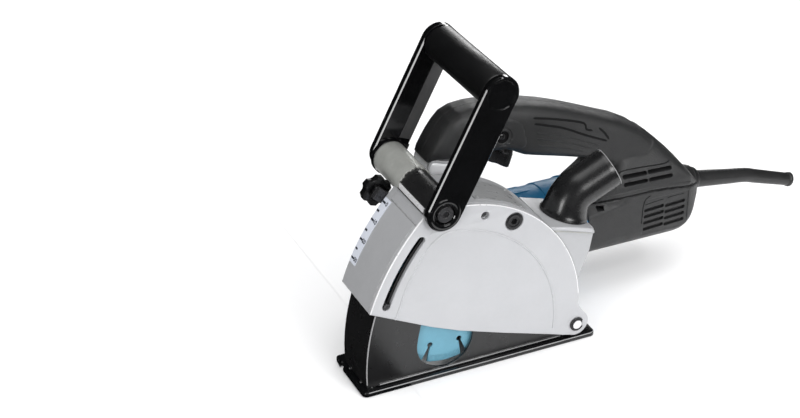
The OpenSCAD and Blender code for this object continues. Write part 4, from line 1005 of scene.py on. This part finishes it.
def skin_line(name, pts, r=0.7, sink=0.45, mat="groove", side=-1, flat=1.0):
    path = []
    for p in resample([(p[0], 0, p[1]) for p in pts], 1.6):
        y, nrm = skin_y(p.x, p.z, side)
        if y is None:
            continue
        path.append(Vector((p.x, y, p.z)) - (Vector(nrm) * sink))
    if len(path) < 3:
        return
    rr = [r * min(1, 0.35 + 0.65 * min(i, len(path) - 1 - i) / 2.0) for i in range(len(path))]
    ob = sweep(name, path, rr, 10, True, 60)
    place(ob, mat, "case")


# the near-black sunk lines along the grip's grooves, the vent line and the seam are painted shade; the ridges and the
# seam lip are raised shapes
for side, tag in ((-1, "near"), (1, "far")):
    skin_line("grip_groove_a_" + tag, [(-11.3, 178.3), (6.6, 173.6), (25.4, 167.7), (38.7, 162.3), (40.5, 157.0), (47.9, 153.9)], 1.25, 0.75, side=side)
    skin_line("grip_groove_b_" + tag, [(-10.4, 173.2), (4.0, 168.3), (20.0, 162.2), (40.8, 151.2), (61.9, 141.4)], 1.25, 0.75, side=side)
    skin_line("grip_groove_c_" + tag, [(51.4, 156.7), (57.6, 150.3), (63.3, 141.8)], 1.25, 0.75, side=side)
    skin_line("grip_ridge_a_" + tag, [(-8.6, 165.1), (20.4, 154.4), (56.2, 137.7)], 0.9, 0.5, "dark", side)
    skin_line("grip_ridge_b_" + tag, [(-7.7, 159.3), (20.6, 149.3), (47.5, 136.8)], 0.9, 0.5, "dark", side)
    skin_line("grip_ridge_c_" + tag, [(-6.7, 152.7), (20.9, 143.6), (41.7, 135.2)], 0.9, 0.5, "dark", side)
    skin_line("vent_line_" + tag, [(66.5, 107.5), (70.5, 112.6), (76, 114.0), (90, 113.6), (106.0, 112.6), (116.0, 112.6), (121.5, 114.5)], 0.9, 0.62, "groove", side)
    skin_line("seam_lip_" + tag, [(47, 91.6), (58, 93.4), (66, 94.6), (89, 94.8), (106, 94.4), (126, 92.2), (141, 90.4)], 3.2, 2.35, "dark", side)
    skin_line("seam_shadow_" + tag, [(44, 88.2), (50, 88.9), (58, 90.7), (66, 92.0), (89, 92.1), (106, 91.7), (126, 89.4), (145, 87.2)], 1.1, 0.62, "groove", side)


def patch(name, poly, side, lift, mat, step=2.2, body="case"):
    """A raised panel that follows the handle's side inside a closed outline."""
    from mathutils.geometry import delaunay_2d_cdt
    P = resample([(p[0], 0, p[1]) for p in poly + [poly[0]]], step)
    P = [Vector((p.x, p.z)) for p in P][:-1]

    def inside(q):
        c = False
        for i in range(len(P)):
            a, b = P[i], P[i - 1]
            if (a.y > q.y) != (b.y > q.y) and q.x < (b.x - a.x) * (q.y - a.y) / (b.y - a.y) + a.x:
                c = not c
        return c

    def dist(q):
        return min((q - a).length for a in P)
    x0, x1 = min(p.x for p in P), max(p.x for p in P)
    z0, z1 = min(p.y for p in P), max(p.y for p in P)
    inner = []
    x = x0
    while x < x1:
        z = z0
        while z < z1:
            q = Vector((x, z))
            if inside(q) and dist(q) > step * 0.45:
                inner.append(q)
            z += step * 0.8
        x += step * 0.8
    pts = P + inner
    res = delaunay_2d_cdt(pts, [(i, (i + 1) % len(P)) for i in range(len(P))], [], 1, 1e-5)
    V2, F = res[0], res[2]
    verts = []
    for q in V2:
        y, nrm = skin_y(q.x, q.y, side)
        if y is None:
            y = MY + side * 17
            nrm = Vector((0, side, 0))
        d = dist(q)
        h = lift * (min(d / 1.6, 1) ** 0.5) - 0.45
        verts.append((q.x, y + side * h, q.y))
    ob = mesh_obj(name, verts, F, 180)
    sol = ob.modifiers.new("t", "SOLIDIFY")
    sol.thickness = 0.9 * MM
    sol.offset = -1
    evaluated(ob)
    smooth(ob, 50)
    return place(ob, mat, body)


patch("switch_plate_near", [(-58, 184.5), (-40, 184), (-27.0, 181.2), (-20.4, 175.6), (-17.4, 168), (-14.6, 156), (-17.6, 151.8), (-22.6, 150.6), (-27, 149.5), (-40, 152.5), (-52, 158.5), (-60, 164), (-62, 176)], -1, 0.95, "dark")

button = lathe("lock_button_cap", [(0, -0.5), (1.9, -0.4), (2.7, 0.1), (3.0, 0.9), (3.0, 5.2)], (-38.5, MY - 18.3, 167.5), (0, 1, 0), 32)
place(button, "satin", "lock_button", "lock_button")
rg = lathe("lock_ring", [(5.4, -0.6), (5.8, -1.1), (6.6, -1.25), (7.4, -1.0), (7.9, 0.2)], (-37.8, MY - 17.6, 167.2), (0, 1, 0), 40)
place(rg, "dark", "case")
# near-black disc at the bottom of the button's recess: painted shade
floor_ = lathe("lock_floor", [(0, 0), (5.6, 0), (7.2, -0.6)], (-37.8, MY - 16.6, 167.2), (0, 1, 0), 40)
place(floor_, "groove", "case")
trig = plate("trigger_lever", [[(-52, 154.6), (-50.5, 147.5), (-47, 142.4), (-41.5, 138.9), (-36, 136.4), (-30.5, 132.6), (-26.8, 130.6), (-24.8, 130.8), (-23.4, 134.5), (-22.2, 138.4), (-21.2, 141.6), (-20.8, 149.5), (-27, 154.6), (-46, 157)]], MY - 6.8, MY + 6.8, 1.8, 4)
place(trig, "satin", "trigger", "trigger")

# the pedestal takes the lighter copy of the cast silver: painted light on faces the lamps leave dim
boss = plate("handle_boss", [[(-103.4, 120), (-103.2, 146), (-102.6, 151), (-101.2, 154.6), (-99.0, 156.6), (-94, 156.0), (-86, 153.2), (-78, 152.0), (-63, 151.6), (-62, 120)]], 42.2, 69.6, 4.6, 7, angle=60)
place(boss, "boss", "case")

# ------------------------------------------------------------------ motor barrel
prof = [(31.2, -62), (36.2, -62), (36.5, -61.6), (36.5, -57.6), (36.1, -57.1), (34.4, -56.6), (33.4, -54), (33.1, -40), (33.1, 7), (33.2, 8.0), (33.9, 8.6), (34.0, 9.4), (34.0, 32.6), (34.6, 33.1), (35.0, 33.6), (35.0, 37.7), (34.7, 38.0), (31.2, 38.0)]
barrel = lathe("motor_barrel", prof, (0, MY, SZ), (1, 0, 0), 96)
for v in barrel.data.vertices:      # the near side is flattened beside the guard
    v.co.y = max(v.co.y, 21.4 * MM)
place(barrel, "blue", "case", "motor_housing")
for k in range(10):
    a = radians(36 * k + 18)
    c, s_ = cos(a), sin(a)
    rib = sweep("barrel_rib_%d" % k, [Vector((x, MY + (33.0 + e) * c, SZ + (33.0 + e) * s_)) for x, e in ((-53, -0.6), (-50, 0.0), (-30, 0.05), (-4, 0.0), (2, -0.6))], [0.3, 0.75, 0.8, 0.75, 0.3], 8, True, 60)
    place(rib, "blue", "case")

# ------------------------------------------------------------------ knob
lob = []
for i in range(6):
    a = 13 + 60 * i
    for da, r in ((-13.5, 12.25), (-10, 12.62), (10, 12.62), (13.5, 12.25), (18, 11.45), (24, 10.85), (30, 10.65), (36, 10.85), (42, 11.45)):
        lob.append((-151 + r * cos(radians(a + da)), 146.2 + r * sin(radians(a + da))))
kb = plate("star_knob_head", [lob], 33.2, 40.0, 0.9, 1, angle=28)
cut(kb, [lathe("c", [(0, -1), (7.4, -1), (6.9, 1.9), (0, 1.9)], (-151, 33.2, 146.2), (0, 1, 0), 40)])
smooth(kb, 28)
place(kb, "knob", "knob", "star_knob")
hub = lathe("star_knob_hub", [(3.1, 5.4), (4.3, 5.2), (4.9, 4.6), (5.0, 1.9), (4.5, 1.2), (3.1, 1.0)], (-151, 30.6, 146.2), (0, 1, 0), 40)
place(hub, "knob", "knob")
for i in range(4):
    th = lathe("stud_thread_%d" % i, [(2.9, -0.35), (3.25, 0.0), (2.9, 0.35)], (-151, 29.4 + 0.9 * i - 0.6, 146.2), (0, 1, 0), 32)
    place(th, "steel", "stop")

# ------------------------------------------------------------------ scale marks
def on_front(a, y, h=0.0):
    r = CASE_R + 0.5 + h
    return Vector((r * cos(radians(a)), y, PIN_Z + r * sin(radians(a))))


for i, a in enumerate((140.1, 142.5, 145.0, 147.8, 150.3, 152.8, 155.2)):
    da = 0.24
    y0, y1 = (24.0, 20.3) if i % 2 else (24.0, 19.2)
    v = [on_front(a - da, y0, -0.05), on_front(a + da, y0, -0.05), on_front(a + da, y1, -0.05), on_front(a - da, y1, -0.05),
         on_front(a - da, y0, 0.06), on_front(a + da, y0, 0.06), on_front(a + da, y1, 0.06), on_front(a - da, y1, 0.06)]
    t = mesh_obj("scale_tick_%d" % i, v, [(0, 1, 2, 3), (4, 5, 6, 7), (0, 1, 5, 4), (1, 2, 6, 5), (2, 3, 7, 6), (3, 0, 4, 7)])
    place(t, "ink", "case")
for txt, a in (("30", 155.2), ("20", 150.3), ("10", 145.0), ("0", 140.1)):
    cu = bpy.data.curves.new("num" + txt, "FONT")
    cu.body = txt
    cu.size = 4.9 * MM
    cu.offset = 0.10 * MM
    cu.align_x = "CENTER"
    cu.align_y = "CENTER"
    cu.extrude = 0.05 * MM
    ob = link("num", cu)
    dg = bpy.context.evaluated_depsgraph_get()
    me = bpy.data.meshes.new_from_object(ob.evaluated_get(dg))
    bpy.data.objects.remove(ob)
    nrm = Vector((cos(radians(a)), 0, sin(radians(a))))
    up = Vector((sin(radians(a)), 0, -cos(radians(a))))
    rt = Vector((0, -1, 0))
    o = on_front(a, 17.1, 0.03) * MM
    m = Matrix(((rt.x, up.x, nrm.x, o.x), (rt.y, up.y, nrm.y, o.y), (rt.z, up.z, nrm.z, o.z), (0, 0, 0, 1)))
    me.transform(m)
    place(link("scale_number_" + txt, me), "ink", "case")

# rivets of the bare plate on top
for i, (x, y) in enumerate(((-89, -17), (-89, 11), (-49.5, -17), (-49.5, 11))):
    a = atan2(sqrt(118.95 ** 2 - (x - C2[0]) ** 2), x - C2[0])
    d = (cos(a), 0, sin(a))
    rv = lathe("plate_rivet_%d" % i, [(1.5, -0.2), (1.4, 0.3), (0.9, 0.6), (0, 0.7)], (C2[0] + 118.95 * cos(a), y, C2[1] + 118.95 * sin(a)), d, 20)
    place(rv, "label", "case")

# ------------------------------------------------------------------ stage
def ground(name, x0, x1, y0, y1, z):
    me = bpy.data.meshes.new(name)
    me.from_pydata([(x0, y0, z), (x1, y0, z), (x1, y1, z), (x0, y1, z)], [], [(0, 1, 2, 3)])
    return link(name, me)


paper = ground("paper", -0.15, 0.9, -0.24, 0.30, 0)
floor = ground("floor", -12, 12, -12, 12, -0.0003)
floor.visible_glossy = False      # polished parts mirror only the paper close by
fm = bpy.data.materials.new("pale_floor")
fm.use_nodes = True
nt = fm.node_tree
b = nt.nodes["Principled BSDF"]
b.inputs["Roughness"].default_value = 0.85
b.inputs["Specular IOR Level"].default_value = 0.1
nz = nt.nodes.new("ShaderNodeTexNoise")
nz.inputs["Scale"].default_value = 3
mx = nt.nodes.new("ShaderNodeMix")
mx.data_type = "RGBA"
mx.inputs[6].default_value = (0.90, 0.90, 0.905, 1)
mx.inputs[7].default_value = (0.93, 0.93, 0.935, 1)
nt.links.new(nz.outputs["Fac"], mx.inputs[0])
nt.links.new(mx.outputs[2], b.inputs["Base Color"])
for o in (paper, floor):
    o.data.materials.append(fm)

w = bpy.data.worlds.new("studio")
SC.world = w
w.use_nodes = True
wt = w.node_tree
bg = wt.nodes["Background"]
tcw = wt.nodes.new("ShaderNodeTexCoord")
sep = wt.nodes.new("ShaderNodeSeparateXYZ")
wt.links.new(tcw.outputs["Generated"], sep.inputs[0])


def wmap(src, a, b, c, d):
    r = wt.nodes.new("ShaderNodeMapRange")
    r.inputs[1].default_value, r.inputs[2].default_value = a, b
    r.inputs[3].default_value, r.inputs[4].default_value = c, d
    wt.links.new(src, r.inputs[0])
    return r.outputs[0]


def wmath(op, a, b):
    m = wt.nodes.new("ShaderNodeMath")
    m.operation = op
    for k, v in enumerate((a, b)):
        if isinstance(v, (int, float)):
            m.inputs[k].default_value = v
        else:
            wt.links.new(v, m.inputs[k])
    return m.outputs[0]


# an even sky that only the matte light sees; polished parts mirror the lamps and the paper
up = wmap(sep.outputs[2], -0.1, 0.9, 0.53, 0.92)
side = wmap(sep.outputs[0], -0.9, 0.3, 0.55, 1.0)
bg.inputs[0].default_value = (1.0, 1.0, 1.0, 1)
wt.links.new(wmath("MULTIPLY", up, side), bg.inputs[1])
w.cycles_visibility.glossy = False


def area(name, loc, target, size, power, size_y=None):
    li = bpy.data.lights.new(name, "AREA")
    li.energy = power
    li.shape = "RECTANGLE"
    li.size = size
    li.size_y = size_y or size
    ob = bpy.data.objects.new(name, li)
    SC.collection.objects.link(ob)
    ob.location = loc
    ob.rotation_euler = (Vector(target) - Vector(loc)).to_track_quat("-Z", "Y").to_euler()
    return ob


area("key", (0.42, -1.95, 1.05), (-0.05, 0, 0.1), 1.1, 26, 0.8)
area("top", (0.0, -0.1, 2.2), (-0.05, 0.0, 0.1), 1.8, 21, 1.6)
area("over", (0.85, -1.30, 2.0), (-0.05, 0.0, 0.15), 0.55, 8, 0.45)
area("left", (-1.55, -0.92, 0.42), (-0.1, 0, 0.17), 0.34, 9, 0.62)
area("back", (1.05, 1.75, 0.62), (-0.05, 0, 0.2), 0.9, 9, 0.45)

cam = bpy.data.cameras.new("cam")
cam.lens = 82.485
cam.sensor_width = 36
cam.sensor_fit = "HORIZONTAL"
cam.clip_start = 0.01
co = bpy.data.objects.new("cam", cam)
SC.collection.objects.link(co)
co.location = (-0.66557, -1.10828, 0.85887)
co.rotation_euler = (radians(90 - 30.18), 0, radians(-25.08))
SC.camera = co
SC.view_settings.view_transform = "Standard"
